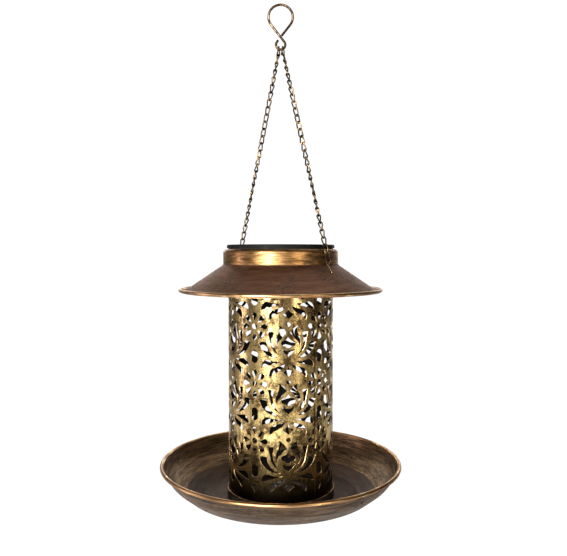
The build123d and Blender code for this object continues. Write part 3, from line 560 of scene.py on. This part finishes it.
wear_low = worked(tree, "SUBTRACT", 0.78, worked(tree, "MULTIPLY", given.outputs["Worn"], 0.5))
wear_from = worked(tree, "ADD", worked(tree, "MULTIPLY", patches, 0.6), worked(tree, "MULTIPLY", fine, 0.4))
wear = ranged(tree, wear_from, wear_low, worked(tree, "ADD", wear_low, 0.14))
streaked = mixed(tree, worked(tree, "MULTIPLY", streak, given.outputs["Streaks"]), given.outputs["Dark"],
                 given.outputs["Mid"])
worn = mixed(tree, worked(tree, "MULTIPLY", wear, 0.85), streaked, given.outputs["Bright"])
fleck_place = placed_group(tree, turning_place, {
    "Place": given.outputs["Place"], "Round": 24.0, "Across": 650.0, "Lean": given.outputs["Lean"]})
fleck_noise = noise(tree, fleck_place.outputs["Vector"], 1.0, 1.0, 0.5)
fleck_low = worked(tree, "SUBTRACT", 0.72, worked(tree, "MULTIPLY", given.outputs["Flecks"], 0.15))
fleck_gate = ranged(tree, noise(tree, given.outputs["Place"], 30.0, 3.0, 0.6), 0.42, 0.62)
fleck = worked(tree, "MULTIPLY", ranged(tree, fleck_noise, fleck_low, worked(tree, "ADD", fleck_low, 0.05)),
               fleck_gate)
flecked = mixed(tree, worked(tree, "MULTIPLY", fleck, 0.9), worn, (0.008, 0.006, 0.004, 1))
tree.links.new(flecked, made.inputs["Color"])
tree.links.new(wear, made.inputs["Wear"])
tree.links.new(fleck, made.inputs["Fleck"])
tree.links.new(worked(tree, "SUBTRACT", fine, worked(tree, "MULTIPLY", fleck, 0.8)), made.inputs["Height"])


def spun_bronze(name, dark, mid, bright, streaks, worn, flecks, smooth=0.30, rough=0.52, lean=-1.3):
    """Brushed antique bronze on a spun piece, leaning the way its wall does."""
    material, tree, shader = new_material(name)
    place = tree.nodes.new("ShaderNodeTexCoord").outputs["Object"]
    finish = placed_group(tree, brushed_antique, {
        "Place": place, "Dark": dark, "Mid": mid, "Bright": bright, "Streaks": streaks, "Worn": worn,
        "Flecks": flecks, "Lean": lean})
    tree.links.new(finish.outputs["Color"], shader.inputs["Base Color"])
    roughness = ranged(tree, finish.outputs["Wear"], 0.0, 1.0, rough, smooth)
    tree.links.new(worked(tree, "ADD", roughness, worked(tree, "MULTIPLY", finish.outputs["Fleck"], 0.3),
                          clamp=True), shader.inputs["Roughness"])
    tree.links.new(worked(tree, "SUBTRACT", 1.0, worked(tree, "MULTIPLY", finish.outputs["Fleck"], 0.8)),
                   shader.inputs["Metallic"])
    tree.links.new(bump_normal(tree, finish.outputs["Height"], 0.22, 0.0002), shader.inputs["Normal"])
    return material


roof_bronze = spun_bronze("roof_bronze", (0.110, 0.052, 0.029, 1), (0.25, 0.125, 0.070, 1),
                          (0.50, 0.30, 0.16, 1), 0.7, 0.2, 1.25, 0.36, 0.54)
collar_bronze = spun_bronze("collar_bronze", (0.12, 0.062, 0.026, 1), (0.50, 0.29, 0.11, 1),
                            (0.97, 0.70, 0.32, 1), 0.9, 0.42, 1.15, 0.20, 0.36)
rim_bronze = spun_bronze("rim_bronze", (0.22, 0.11, 0.05, 1), (0.66, 0.42, 0.20, 1), (0.98, 0.76, 0.44, 1),
                         0.9, 0.5, 0.05, 0.20, 0.32)
half = ROOF_SHEET / 2
roof_run = rounded_run(
    [(MOUTH_R + half, COLLAR_TOP - half - SEAL_GAP), (COLLAR_R - half, COLLAR_TOP - half - SEAL_GAP),
     (COLLAR_R - half, COLLAR_FOOT - half),
     (CONE_FOOT_R, CONE_FOOT - half), (GUTTER_R, CONE_FOOT - GUTTER_DROP),
     (BRIM_R - BRIM_BEAD_R, CONE_FOOT - GUTTER_DROP + BRIM_BEAD_RISE - BRIM_BEAD_R + half)],
    [COLLAR_CORNER_R - half, COLLAR_FOOT_BEND, GUTTER_BEND, BRIM_BEND])
bead = Vector((BRIM_R - BRIM_BEAD_R, CONE_FOOT - GUTTER_DROP + BRIM_BEAD_RISE))
curl = curled(bead, (0, -1), BRIM_BEAD_R - half, -BRIM_CURL, CURL_STEPS, first=0)
roof = finished_piece("spun_roof", spun_sheet(roof_run[:-1] + curl, ROOF_SHEET),
                      [roof_bronze, rim_bronze, collar_bronze])
cutters = []
for number in range(LUG_COUNT):
    notch = bmesh.new()
    bmesh.ops.create_cube(notch, size=1.0)
    bmesh.ops.scale(notch, vec=LUG_NOTCH, verts=notch.verts)
    bmesh.ops.translate(notch, vec=(MOUTH_R - LUG_NOTCH_IN, 0, COLLAR_TOP), verts=notch.verts)
    bmesh.ops.rotate(notch, cent=(0, 0, 0), verts=notch.verts,
                     matrix=Matrix.Rotation(radians(number * 360 / LUG_COUNT + LOCK_TURN), 3, "Z"))
    cutters.append(notch)
for side in (-1, 1):
    hole = bmesh.new()
    bmesh.ops.create_cone(hole, cap_ends=True, segments=28, radius1=S_HOLE_R, radius2=S_HOLE_R,
                          depth=S_HOLE_CUT)
    tilt = Matrix.Rotation(CONE_SLOPE, 4, "Y")
    facing = Matrix.Rotation(atan2(side * CHAIN_SIDE.y, side * CHAIN_SIDE.x), 4, "Z")
    bmesh.ops.transform(hole, verts=hole.verts, matrix=facing @ Matrix.Translation(
        (HOLE_REACH, 0, cone_height(HOLE_REACH))) @ tilt)
    cutters.append(hole)
cut_through(roof, cutters)
for face in roof.data.polygons:
    on_rim = hypot(face.center.x, face.center.y) > RIM_FINISH_R
    face.material_index = 1 if on_rim else 2 if face.center.z > COLLAR_FINISH_FOOT else 0
roof.data.shade_smooth()
roof.data.set_sharp_from_angle(angle=radians(40))
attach(roof, "lantern")
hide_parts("roof")

# ---- Pierced tube -------------------------------------------------------------------------------
# Thin steel sheet blanked with rows of lotus and rosette holes, rolled into a tube and spot-welded on a
# narrow lap.  Plated pale antique gold outside and bright along the cut edges; the inside is painted near
# black as shade.
TUBE_SHEET = 0.6 * MM
TUBE_LENGTH = 244.0 * MM
TUBE_TOP = COLLAR_TOP - ROOF_SHEET
TUBE_FOOT = TUBE_TOP - TUBE_LENGTH
SEAM_ANGLE = radians(38.6)
SEAM_LAP = 7.0
SEAM_EASE = 9.0
SEAM_GAP = 0.02 * MM
# Painted shade: a dark band just before the seam, standing for the shadow of the lap's raised edge, and
# darkening over the foot of the tube where it stands in the tray.
SEAM_SHADOW_FROM = SEAM_ANGLE - 0.05
SEAM_SHADOW_FULL = SEAM_ANGLE - 0.004
FOOT_SHADE_FULL = 8 * MM
FOOT_SHADE_END = 48 * MM
PATTERN_REPEATS = 5
PATTERN_PITCH = 53.85
PATTERN_ANGLE = radians(8.2)
FIRST_ROW_UP = 64.9
BOTTOM_BAND = 15.0
TOP_BAND = 31.0
HALF_REPEAT = pi * TUBE_R / MM / PATTERN_REPEATS
TILE_SPARE = 36
STRIPS = 24
ARC_STEP = radians(24)
EDGE_ROUND = 0.24
# Corners of each hole as (across from the lotus, up from the rosettes, rise of the arc to the next one), mm.
CLOVER = [(0, -8.85, -0.3), (-3.2, -12.6, 3.6), (-3.2, -17.7, 2.0), (3.2, -17.7, 3.6), (3.2, -12.6, -0.3)]
DROP = [(0, 4.4, 0.4), (-2.2, 2.2, 0.4), (0, 0, 0.4), (2.2, 2.2, 0.4)]
KITE = [(0, -36.9, -1.0), (-5.4, -42, 0.3), (0, -46.3, 0.3), (5.4, -42, -1.0)]
HEART = [(6.3, -20.8, -1.6), (-6.3, -20.8, 0.7), (0, -27.5, 0.7)]
WING = [(8.9, 1.3, 1.0), (1.5, -5.7, -0.5), (6.6, -11.3, -3.6), (7.2, -23.1, 2.7), (10.6, -8.3, -1.2)]
COMMA = [(19.2, -4.8, 0.3), (13.6, -5.2, 0.3), (14.9, -11.5, -2.0), (7.5, -27, 2.6), (17.4, -12.5, -0.3)]
SEPAL = [(28, -15, 0.6), (20.8, -14.3, -3.2), (8.3, -28.9, 4.6)]
LEAF = [(6.4, -32.3, 0.9), (25.9, -38.3, 1.7), (20.5, -30.6, -0.8)]
FERN = [(3.2, -34.8, 1.0), (9.0, -41.2, -0.8), (17.1, -47.2, 1.7), (15.2, -38.8, 0.2)]
ALMOND = [(0, -22.3, 1.9), (-2.8, -28.4, 1.9), (0, -34.5, 1.9), (2.8, -28.4, 1.9)]
ROSETTE_EYE = [(2.7, 0, 2.7), (-2.7, 0, 2.7)]
PETAL = [(5.1, 0, 0.15), (10.0, -2.45, 3.1), (10.0, 2.45, 0.15)]


def moved(outline, across, up=0.0):
    """The outline shifted on the flat sheet."""
    return [(x + across, y + up, rise) for x, y, rise in outline]


def turned(outline, angle):
    """The outline turned about its zero point."""
    return [(x * cos(angle) - y * sin(angle), x * sin(angle) + y * cos(angle), rise)
            for x, y, rise in outline]


def mirrored(outline):
    """The outline's other hand, its corners in reverse order so that its arcs rise the same way."""
    count = len(outline)
    return [(-outline[-i % count][0], outline[-i % count][1], outline[(-i - 1) % count][2])
            for i in range(count)]


def drawn_outline(outline):
    """The outline with its arcs drawn as smooth curves."""
    points = []
    for i, (x, y, rise) in enumerate(outline):
        next_x, next_y, _ = outline[(i + 1) % len(outline)]
        start, step = Vector((x, y)), Vector((next_x - x, next_y - y))
        chord, height = step.length, abs(rise)
        radius = (chord ** 2 / 4 + height ** 2) / (2 * height)
        sweep = 4 * atan2(2 * height, chord)
        steps = max(1, ceil(sweep / ARC_STEP))
        off = Vector((step.y, -step.x)) / chord * (1 if rise > 0 else -1)
        for j in range(steps):
            angle = sweep * (j / steps - 0.5)
            points.append(start + step / 2 + step / chord * (radius * sin(angle))
                          + off * (radius * cos(angle) - radius + height))
    return points


lotus = [CLOVER, DROP, KITE, HEART]
for one in (WING, COMMA, SEPAL, LEAF, FERN):
    lotus += [one, mirrored(one)]
rosette = [turned(PETAL, k * pi / 4) for k in range(8)] + [ROSETTE_EYE, ALMOND]
one_row = lotus + [moved(one, HALF_REPEAT) for one in rosette]
tube_mm = TUBE_LENGTH / MM
sheet_edge = HALF_REPEAT + TILE_SPARE
blank = [Vector((-sheet_edge, 0)), Vector((sheet_edge, 0)), Vector((sheet_edge, tube_mm)),
         Vector((-sheet_edge, tube_mm))]
outlines = [blank]
for row in range(-1, ceil(tube_mm / PATTERN_PITCH)):
    for repeat in (-1, 0, 1):
        for one in one_row:
            hole = moved(one, repeat * 2 * HALF_REPEAT, FIRST_ROW_UP + PATTERN_PITCH * row)
            sides = [corner[0] for corner in hole]
            ups = [corner[1] for corner in hole]
            inside = min(ups) > BOTTOM_BAND and max(ups) < tube_mm - TOP_BAND
            if inside and max(sides) > -HALF_REPEAT - 1 and min(sides) < HALF_REPEAT + 1:
                outlines.append(drawn_outline(hole))
pattern = bpy.data.curves.new("pattern", "CURVE")
pattern.dimensions = "2D"
pattern.fill_mode = "BOTH"
pattern.extrude = TUBE_SHEET / MM / 2 - EDGE_ROUND
pattern.bevel_depth = EDGE_ROUND
pattern.bevel_resolution = 0
pattern.offset = -EDGE_ROUND
for outline in outlines:
    spline = pattern.splines.new("POLY")
    spline.points.add(len(outline) - 1)
    for point, place in zip(spline.points, outline):
        point.co = (place.x, place.y, 0, 1)
    spline.use_cyclic_u = True
drawing = bpy.data.objects.new("pattern", pattern)
bpy.context.scene.collection.objects.link(drawing)
flat_tile = bpy.data.meshes.new_from_object(drawing.evaluated_get(bpy.context.evaluated_depsgraph_get()))
bpy.data.objects.remove(drawing)

tile = bmesh.new()
tile.from_mesh(flat_tile)
bmesh.ops.remove_doubles(tile, verts=tile.verts, dist=0.0005)
for side in (-1, 1):
    bmesh.ops.bisect_plane(tile, geom=tile.verts[:] + tile.edges[:] + tile.faces[:], dist=1e-4,
                           plane_co=(side * HALF_REPEAT, 0, 0), plane_no=(side, 0, 0), clear_outer=True)
for strip in range(1, STRIPS):
    bmesh.ops.bisect_plane(tile, geom=tile.verts[:] + tile.edges[:] + tile.faces[:], dist=1e-4,
                           plane_co=((2 * strip / STRIPS - 1) * HALF_REPEAT, 0, 0), plane_no=(1, 0, 0))
tile_mesh = bpy.data.meshes.new("tile")
tile.to_mesh(tile_mesh)
tile.free()
sheet = bmesh.new()
sheet_start = SEAM_ANGLE * TUBE_R / MM
sheet_end = sheet_start + 2 * pi * TUBE_R / MM + SEAM_LAP
for repeat in range(PATTERN_REPEATS + 2):
    tile_copy = tile_mesh.copy()
    tile_copy.transform(Matrix.Translation((PATTERN_ANGLE * TUBE_R / MM + 2 * HALF_REPEAT * repeat, 0, 0)))
    sheet.from_mesh(tile_copy)
bmesh.ops.remove_doubles(sheet, verts=sheet.verts, dist=0.002)
for edge, facing in ((sheet_start, -1), (sheet_end, 1)):
    cut = bmesh.ops.bisect_plane(sheet, geom=sheet.verts[:] + sheet.edges[:] + sheet.faces[:], dist=1e-4,
                                 plane_co=(edge, 0, 0), plane_no=(facing, 0, 0), clear_outer=True)
    ends = [part for part in cut["geom_cut"] if isinstance(part, bmesh.types.BMEdge)]
    bmesh.ops.holes_fill(sheet, edges=ends, sides=0)
sheet.faces.ensure_lookup_table()
sheet.normal_update()
for face in sheet.faces:
    upright = face.normal.z
    face.material_index = 0 if upright > 0.9 else 1 if upright < -0.9 else 2
for vert in sheet.verts:
    along, up, depth = vert.co
    run = along - sheet_start
    ease = min(max((run - SEAM_LAP) / SEAM_EASE, 0.0), 1.0)
    lift = (TUBE_SHEET + SEAM_GAP) * (1 - ease * ease * (3 - 2 * ease))
    angle = along * MM / TUBE_R
    reach = TUBE_R - TUBE_SHEET / 2 + depth * MM + lift
    vert.co = (reach * sin(angle), -reach * cos(angle), TUBE_FOOT + up * MM)
tube_mesh = bpy.data.meshes.new("pierced_tube")
sheet.to_mesh(tube_mesh)
sheet.free()
tube_mesh.shade_smooth()
tube_mesh.set_sharp_from_angle(angle=radians(35))
tube = bpy.data.objects.new("pierced_tube", tube_mesh)
bpy.context.scene.collection.objects.link(tube)


def tube_gold(name, dark, rubbed, share, shade_amount, smooth, rough, metal=1.0, shine=0.5):
    """Pale gold plating, streaked brown down the sheet, with painted shade at the foot and a painted shadow
    beside the seam.
    """
    material, tree, shader = new_material(name)
    place = tree.nodes.new("ShaderNodeTexCoord").outputs["Object"]
    parts = tree.nodes.new("ShaderNodeSeparateXYZ")
    tree.links.new(place, parts.inputs[0])
    plating = placed_group(tree, rubbed_plating, {
        "Place": place, "Dark": dark, "Rubbed": rubbed, "Patch Scale": 75.0, "Rubbed Share": share})
    stretched = tree.nodes.new("ShaderNodeMapping")
    stretched.inputs["Scale"].default_value = (330, 330, 14)
    tree.links.new(place, stretched.inputs["Vector"])
    streak = ranged(tree, noise(tree, stretched.outputs[0], 1.0, 4.0, 0.65), 0.44, 0.66)
    streaked = mixed(tree, worked(tree, "MULTIPLY", streak, 0.6), plating.outputs["Color"], dark)
    # Painted shade over the foot, darkest at the bottom, and a painted shadow line just before the seam's
    # lap.
    foot = ranged(tree, parts.outputs["Z"], TUBE_FOOT + FOOT_SHADE_FULL, TUBE_FOOT + FOOT_SHADE_END,
                  1.0, 0.0)
    angle = worked(tree, "ARCTAN2", parts.outputs["X"], worked(tree, "MULTIPLY", parts.outputs["Y"], -1.0))
    seam_shadow = worked(tree, "MULTIPLY", ranged(tree, angle, SEAM_SHADOW_FROM, SEAM_SHADOW_FULL),
                    worked(tree, "LESS_THAN", angle, SEAM_ANGLE))
    painted_shade = worked(tree, "MULTIPLY", shade_amount,
                   worked(tree, "MAXIMUM", foot, worked(tree, "MULTIPLY", seam_shadow, 0.8)))
    # Mix in the painted shade and shadow as a near-black brown.
    tree.links.new(mixed(tree, painted_shade, streaked, (0.018, 0.012, 0.007, 1)), shader.inputs["Base Color"])
    dull = worked(tree, "MULTIPLY", worked(tree, "MAXIMUM", streak, painted_shade), 0.14)
    sheen = ranged(tree, plating.outputs["Rub"], 0.0, 1.0, rough, smooth)
    tree.links.new(worked(tree, "ADD", sheen, dull), shader.inputs["Roughness"])
    shader.inputs["Metallic"].default_value = metal
    shader.inputs["Specular IOR Level"].default_value = shine
    tree.links.new(bump_normal(tree, plating.outputs["Height"], 0.3, 0.0003), shader.inputs["Normal"])
    return material


for finish in (
        tube_gold("tube_gold", (0.070, 0.045, 0.020, 1), (0.74, 0.56, 0.24, 1), 0.58, 1.0, 0.19, 0.34),
        # Inside: painted shade, the plated sheet coloured near black where little light reaches it.
        tube_gold("tube_inside_shade", (0.002, 0.002, 0.001, 1), (0.012, 0.009, 0.006, 1), 0.4, 0.6, 0.6, 0.7,
                  metal=0.0, shine=0.2),
        tube_gold("cut_edges", (0.22, 0.13, 0.06, 1), (0.90, 0.66, 0.34, 1), 0.65, 0.85, 0.24, 0.36)):
    tube_mesh.materials.append(finish)
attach(tube, "lantern")
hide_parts("perforated_tube")

# ---- Base cup -----------------------------------------------------------------------------------
# A shallow pressed cup that the tube stands in, with a thin rolled lip, nested over the tray's middle.
CUP_SHEET = 0.6 * MM
CUP_R = TUBE_R + 1.5 * MM
CUP_FLOOR = TUBE_FOOT - CUP_SHEET
CUP_HEIGHT = 7.6 * MM
PAD_R = 20.0 * MM
PAD_RISE = 4.6 * MM
PAD_SLACK = 1.0 * MM
CUP_BENDS = [0.9 * MM, 0.6 * MM, 1.2 * MM]
LIP_R = 0.5 * MM
LIP_CURL = radians(240)
TRAY_SHEET = 0.8 * MM
SCREW_R = 2.5 * MM
FIT = 0.2 * MM
tray_bronze = spun_bronze("tray_bronze", (0.040, 0.027, 0.019, 1), (0.21, 0.145, 0.095, 1),
                          (0.50, 0.37, 0.23, 1), 0.9, 0.28, 1.25, 0.32, 0.5, 1.3)
half = CUP_SHEET / 2
pad_side = PAD_R + TRAY_SHEET / 2 + PAD_SLACK + FIT + half
cup_run = rounded_run(
    [(SCREW_R + FIT, CUP_FLOOR + PAD_RISE + half), (pad_side, CUP_FLOOR + PAD_RISE + half),
     (pad_side, CUP_FLOOR + half), (CUP_R - half, CUP_FLOOR + half), (CUP_R - half, CUP_FLOOR + CUP_HEIGHT)],
    CUP_BENDS)
lip_middle = Vector((CUP_R - LIP_R, CUP_FLOOR + CUP_HEIGHT))
cup_run += curled(lip_middle, (1, 0), LIP_R - half, LIP_CURL, CURL_STEPS // 2)
cup = finished_piece("pressed_cup", spun_sheet(cup_run, CUP_SHEET), [tray_bronze, rim_bronze])
for face in cup.data.polygons:
    face.material_index = 1 if face.center.z > CUP_FLOOR + CUP_HEIGHT - 0.2 * MM else 0
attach(cup, "lantern")
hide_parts("base_cup")

# ---- Seed tray ----------------------------------------------------------------------------------
# A wide pressed dish: flat floor with a raised middle for the screw, a shallow ring, a rounded wall, and
# the rim rolled outwards into a bead.  Brushed round, with dark flecks in the plating.
TRAY_R = 120.0 * MM
TRAY_FOOT = CUP_FLOOR - TRAY_SHEET
TRAY_DEPTH = 34.5 * MM
TRAY_BEAD_R = 2.0 * MM
TRAY_CURL = radians(320)
TRAY_FLOOR_IN = 43 * MM
TRAY_RING_IN = 26 * MM
TRAY_RING_RISE = 6.6 * MM
TRAY_WALL_IN = 10.4 * MM
TRAY_WALL_RISE = TRAY_DEPTH * 0.56
TRAY_BENDS = [1.0 * MM, 1.0 * MM, 6.0 * MM, 10.0 * MM, 24.0 * MM]
FLOOR_FINISH_IN = 26.5 * MM
half = TRAY_SHEET / 2
floor_line = TRAY_FOOT + half
bead = Vector((TRAY_R - TRAY_BEAD_R, TRAY_FOOT + TRAY_DEPTH - TRAY_BEAD_R))
tray_run = rounded_run(
    [(SCREW_R + FIT, floor_line + PAD_RISE), (PAD_R, floor_line + PAD_RISE), (PAD_R + half, floor_line),
     (TRAY_R - TRAY_FLOOR_IN, floor_line), (TRAY_R - TRAY_RING_IN, TRAY_FOOT + TRAY_RING_RISE),
     (TRAY_R - TRAY_WALL_IN, TRAY_FOOT + TRAY_WALL_RISE), (bead.x - TRAY_BEAD_R + half, bead.y)],
    TRAY_BENDS, radians(5))
tray_run += curled(bead, (-1, 0), TRAY_BEAD_R - half, -TRAY_CURL, CURL_STEPS)
wall_gold = spun_bronze("wall_gold", (0.055, 0.032, 0.017, 1), (0.30, 0.195, 0.100, 1), (0.66, 0.48, 0.26, 1),
                        0.95, 0.36, 1.0, 0.26, 0.44, 1.3)
floor_brown = spun_bronze("floor_brown", (0.028, 0.017, 0.011, 1), (0.090, 0.054, 0.034, 1),
                          (0.22, 0.14, 0.08, 1), 0.6, 0.2, 0.4, 0.34, 0.5, 0.0)
tray = finished_piece("seed_tray", spun_sheet(tray_run, TRAY_SHEET, 192),
                      [tray_bronze, rim_bronze, wall_gold, floor_brown])
for face in tray.data.polygons:
    reach = hypot(face.center.x, face.center.y)
    inward = face.normal.z > 0.02 or face.normal.dot(face.center.xy.to_3d()) < 0
    on_rim = face.center.z > bead.y - 0.5 * MM
    on_floor = reach < TRAY_R - FLOOR_FINISH_IN
    face.material_index = 1 if on_rim else 0 if not inward else 3 if on_floor else 2
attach(tray, "lantern")
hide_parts("feed_tray")

# ---- Lamp lid -----------------------------------------------------------------------------------
# A black moulded cap lying on the collar: its skirt and three lugs lock in the roof's mouth, and a square
# pocket on top takes the solar cell under a clear window.
FINGER_PITCH = 2.0 * MM
FINGER_WIDTH = 0.12 * MM
BUSBAR_PITCH = 20.0 * MM
BUSBAR_WIDTH = 0.9 * MM


def moulded_plastic(name, colour, rough, grain_scale, grain_depth, coat=0.0, shine=0.5):
    """Moulded or rubbery stuff with a fine grain, smeared a little lighter by handling."""
    material, tree, shader = new_material(name)
    place = tree.nodes.new("ShaderNodeTexCoord").outputs["Object"]
    grain = noise(tree, place, grain_scale, 3.0, 0.6)
    smear = noise(tree, place, 40.0, 4.0, 0.6)
    tone = ranged(tree, smear, 0.3, 0.7)
    lighter = tuple(min(1.0, channel * 1.7 + 0.002) for channel in colour[:3]) + (1,)
    tree.links.new(mixed(tree, tone, colour, lighter), shader.inputs["Base Color"])
    tree.links.new(ranged(tree, smear, 0.3, 0.7, rough - 0.07, rough + 0.08), shader.inputs["Roughness"])
    tree.links.new(bump_normal(tree, grain, 0.3, grain_depth), shader.inputs["Normal"])
    shader.inputs["Coat Weight"].default_value = coat
    shader.inputs["Specular IOR Level"].default_value = shine
    return material


def dress(node, material):
    """Give a CAD piece its finish."""
    mesh = frame["nodes"][node].data
    mesh.materials.clear()
    mesh.materials.append(material)
    for face in mesh.polygons:
        face.material_index = 0


lid_black = moulded_plastic("lid_black", (0.002, 0.002, 0.002, 1), 0.58, 2500.0, 0.00005, 0.0, 0.14)
for node in ("lamp_housing", "lamp_cover", "battery_door", "switch_body", "switch_slider", "board_parts"):
    dress(node, lid_black)
dress("lamp_seal", moulded_plastic("seal_rubber", (0.012, 0.012, 0.012, 1), 0.75, 1500.0, 0.00008))
dress("circuit_board", moulded_plastic("board_green", (0.01, 0.11, 0.04, 1), 0.4, 900.0, 0.00003))
dress("cell_leads", moulded_plastic("lead_red", (0.4, 0.015, 0.012, 1), 0.4, 900.0, 0.00003))
dress("battery", moulded_plastic("battery_wrap", (0.03, 0.16, 0.06, 1), 0.3, 700.0, 0.00002, 0.4))

zinc, tree, shader = new_material("zinc_plate")
place = tree.nodes.new("ShaderNodeTexCoord").outputs["Object"]
spangle = noise(tree, place, 700.0, 3.0, 0.5)
tree.links.new(mixed(tree, ranged(tree, spangle, 0.3, 0.7), (0.42, 0.41, 0.39, 1), (0.66, 0.65, 0.62, 1)),
               shader.inputs["Base Color"])
tree.links.new(ranged(tree, spangle, 0.3, 0.7, 0.42, 0.26), shader.inputs["Roughness"])
shader.inputs["Metallic"].default_value = 1.0
for node in ("tray_screw", "tray_washers", "tray_nut", "cover_screws", "board_screws", "door_screw",
             "battery_spring", "battery_plate"):
    dress(node, zinc)

cell_blue, tree, shader = new_material("cell_blue")
place = tree.nodes.new("ShaderNodeTexCoord").outputs["Object"]
lines = tree.nodes.new("ShaderNodeSeparateXYZ")
tree.links.new(place, lines.inputs[0])


def ruled(tree, coordinate, spacing, width):
    """Mask of straight lines at even spacing, counted well past zero so that no share is negative."""
    share = worked(tree, "FRACT", worked(tree, "ADD", worked(tree, "DIVIDE", coordinate, spacing), 100.5))
    off = worked(tree, "ABSOLUTE", worked(tree, "SUBTRACT", share, 0.5))
    return worked(tree, "LESS_THAN", off, width / spacing / 2)


fingers = ruled(tree, lines.outputs["Y"], FINGER_PITCH, FINGER_WIDTH)
busbars = ruled(tree, lines.outputs["X"], BUSBAR_PITCH, BUSBAR_WIDTH)
silver = worked(tree, "MAXIMUM", fingers, busbars)
crystal = noise(tree, place, 220.0, 2.0, 0.5)
silicon = mixed(tree, ranged(tree, crystal, 0.35, 0.65), (0.004, 0.006, 0.02, 1), (0.010, 0.016, 0.05, 1))
tree.links.new(mixed(tree, silver, silicon, (0.45, 0.46, 0.48, 1)), shader.inputs["Base Color"])
tree.links.new(ranged(tree, crystal, 0.3, 0.7, 0.22, 0.32), shader.inputs["Roughness"])
dress("solar_cell", cell_blue)

clear_window, tree, shader = new_material("clear_window")
place = tree.nodes.new("ShaderNodeTexCoord").outputs["Object"]
smear = noise(tree, place, 35.0, 4.0, 0.6)
shader.inputs["Base Color"].default_value = (0.95, 0.97, 0.98, 1)
shader.inputs["Transmission Weight"].default_value = 1.0
shader.inputs["IOR"].default_value = 1.45
tree.links.new(ranged(tree, smear, 0.4, 0.75, 0.03, 0.12), shader.inputs["Roughness"])
dress("solar_window", clear_window)

led_clear, tree, shader = new_material("led_clear")
place = tree.nodes.new("ShaderNodeTexCoord").outputs["Object"]
haze = noise(tree, place, 400.0, 2.0, 0.5)
tree.links.new(mixed(tree, haze, (0.9, 0.86, 0.72, 1), (0.98, 0.95, 0.85, 1)), shader.inputs["Base Color"])
shader.inputs["Roughness"].default_value = 0.12
dress("led", led_clear)

# ---- Floor, light and camera --------------------------------------------------------------------
# White paper swept up behind and well below, a dim room round it, and six soft boxes: a strong one in
# front on the left, a weak one at each side, and three behind that draw the edges.
PAPER_HALF = 6.0
PAPER_HEIGHT = -0.75
PAPER_BACK = 2.6
PAPER_TOP = 4.0
PAPER_SWEEP_R = 1.2
PAPER_WHITE = 1.05
CAMERA_LENS = 41.46
CAMERA_PLACE = (2.8 * MM, -651.56 * MM, -241.2 * MM)
CAMERA_DOWN = 2.3
floor = bmesh.new()
profile = rounded_run([(-PAPER_HALF, PAPER_HEIGHT), (PAPER_BACK, PAPER_HEIGHT), (PAPER_BACK, PAPER_TOP)],
                      [PAPER_SWEEP_R], radians(4))
line = [floor.verts.new((-PAPER_HALF, point.x, point.y)) for point in profile]
line_edges = [floor.edges.new(pair) for pair in zip(line, line[1:])]
swept = bmesh.ops.extrude_edge_only(floor, edges=line_edges)["geom"]
bmesh.ops.translate(floor, vec=(2 * PAPER_HALF, 0, 0),
                    verts=[part for part in swept if isinstance(part, bmesh.types.BMVert)])


def seen_as(tree, unseen, seen, surface):
    """Show one shader to the camera, and another to the light."""
    path = tree.nodes.new("ShaderNodeLightPath")
    choose = tree.nodes.new("ShaderNodeMixShader")
    tree.links.new(path.outputs["Is Camera Ray"], choose.inputs[0])
    tree.links.new(unseen, choose.inputs[1])
    tree.links.new(seen, choose.inputs[2])
    tree.links.new(choose.outputs[0], surface)


paper, tree, shader = new_material("floor_paper")
shader.inputs["Base Color"].default_value = (0.9, 0.9, 0.9, 1)
shader.inputs["Roughness"].default_value = 0.9
bright = tree.nodes.new("ShaderNodeEmission")
bright.inputs["Color"].default_value = (1, 1, 1, 1)
bright.inputs["Strength"].default_value = PAPER_WHITE
seen_as(tree, shader.outputs[0], bright.outputs[0], tree.nodes["Material Output"].inputs["Surface"])
floor_sheet = finished_piece("floor_sheet", floor, [paper])

world = bpy.data.worlds.new("studio")
bpy.context.scene.world = world
world.use_nodes = True
tree = world.node_tree
room = tree.nodes["Background"]
room.inputs["Color"].default_value = (0.078, 0.066, 0.064, 1)
room.inputs["Strength"].default_value = 1.0
white = tree.nodes.new("ShaderNodeBackground")
white.inputs["Color"].default_value = (1, 1, 1, 1)
white.inputs["Strength"].default_value = PAPER_WHITE
seen_as(tree, room.outputs[0], white.outputs[0], tree.nodes["World Output"].inputs["Surface"])

lantern_middle = Vector((0, 0, -0.34))


def soft_box(name, azimuth, elevation, distance, width, height, power, tint=(1.0, 0.97, 0.92)):
    """Area light aimed at the lantern, azimuth from the front towards the right."""
    light = bpy.data.lights.new(name, "AREA")
    light.shape = "RECTANGLE"
    light.size, light.size_y = width, height
    light.energy = power
    light.color = tint
    lamp = bpy.data.objects.new(name, light)
    away = Vector((sin(radians(azimuth)) * cos(radians(elevation)),
                   -cos(radians(azimuth)) * cos(radians(elevation)), sin(radians(elevation))))
    lamp.location = lantern_middle + away * distance
    lamp.rotation_euler = away.to_track_quat("Z", "Y").to_euler()
    bpy.context.scene.collection.objects.link(lamp)


soft_box("key_front", -23, 14, 1.6, 0.7, 1.2, 50)
soft_box("side_left", -88, 8, 1.5, 0.4, 1.2, 5, (1.0, 0.86, 0.92))
soft_box("fill_right", 35, 12, 1.7, 0.3, 1.1, 9, (1.0, 0.86, 0.68))
soft_box("top_back", 165, 62, 1.6, 1.0, 0.6, 5)
soft_box("back_left", -162, 24, 1.6, 0.8, 1.0, 4)
soft_box("back_right", 160, 10, 1.6, 0.6, 1.2, 3)

camera = bpy.data.cameras.new("camera")
camera.lens = CAMERA_LENS
camera.sensor_width = 36
camera_object = bpy.data.objects.new("camera", camera)
camera_object.location = CAMERA_PLACE
camera_object.rotation_euler = (radians(90 - CAMERA_DOWN), 0, 0)
bpy.context.scene.collection.objects.link(camera_object)
bpy.context.scene.camera = camera_object
bpy.context.scene.view_settings.view_transform = "Standard"
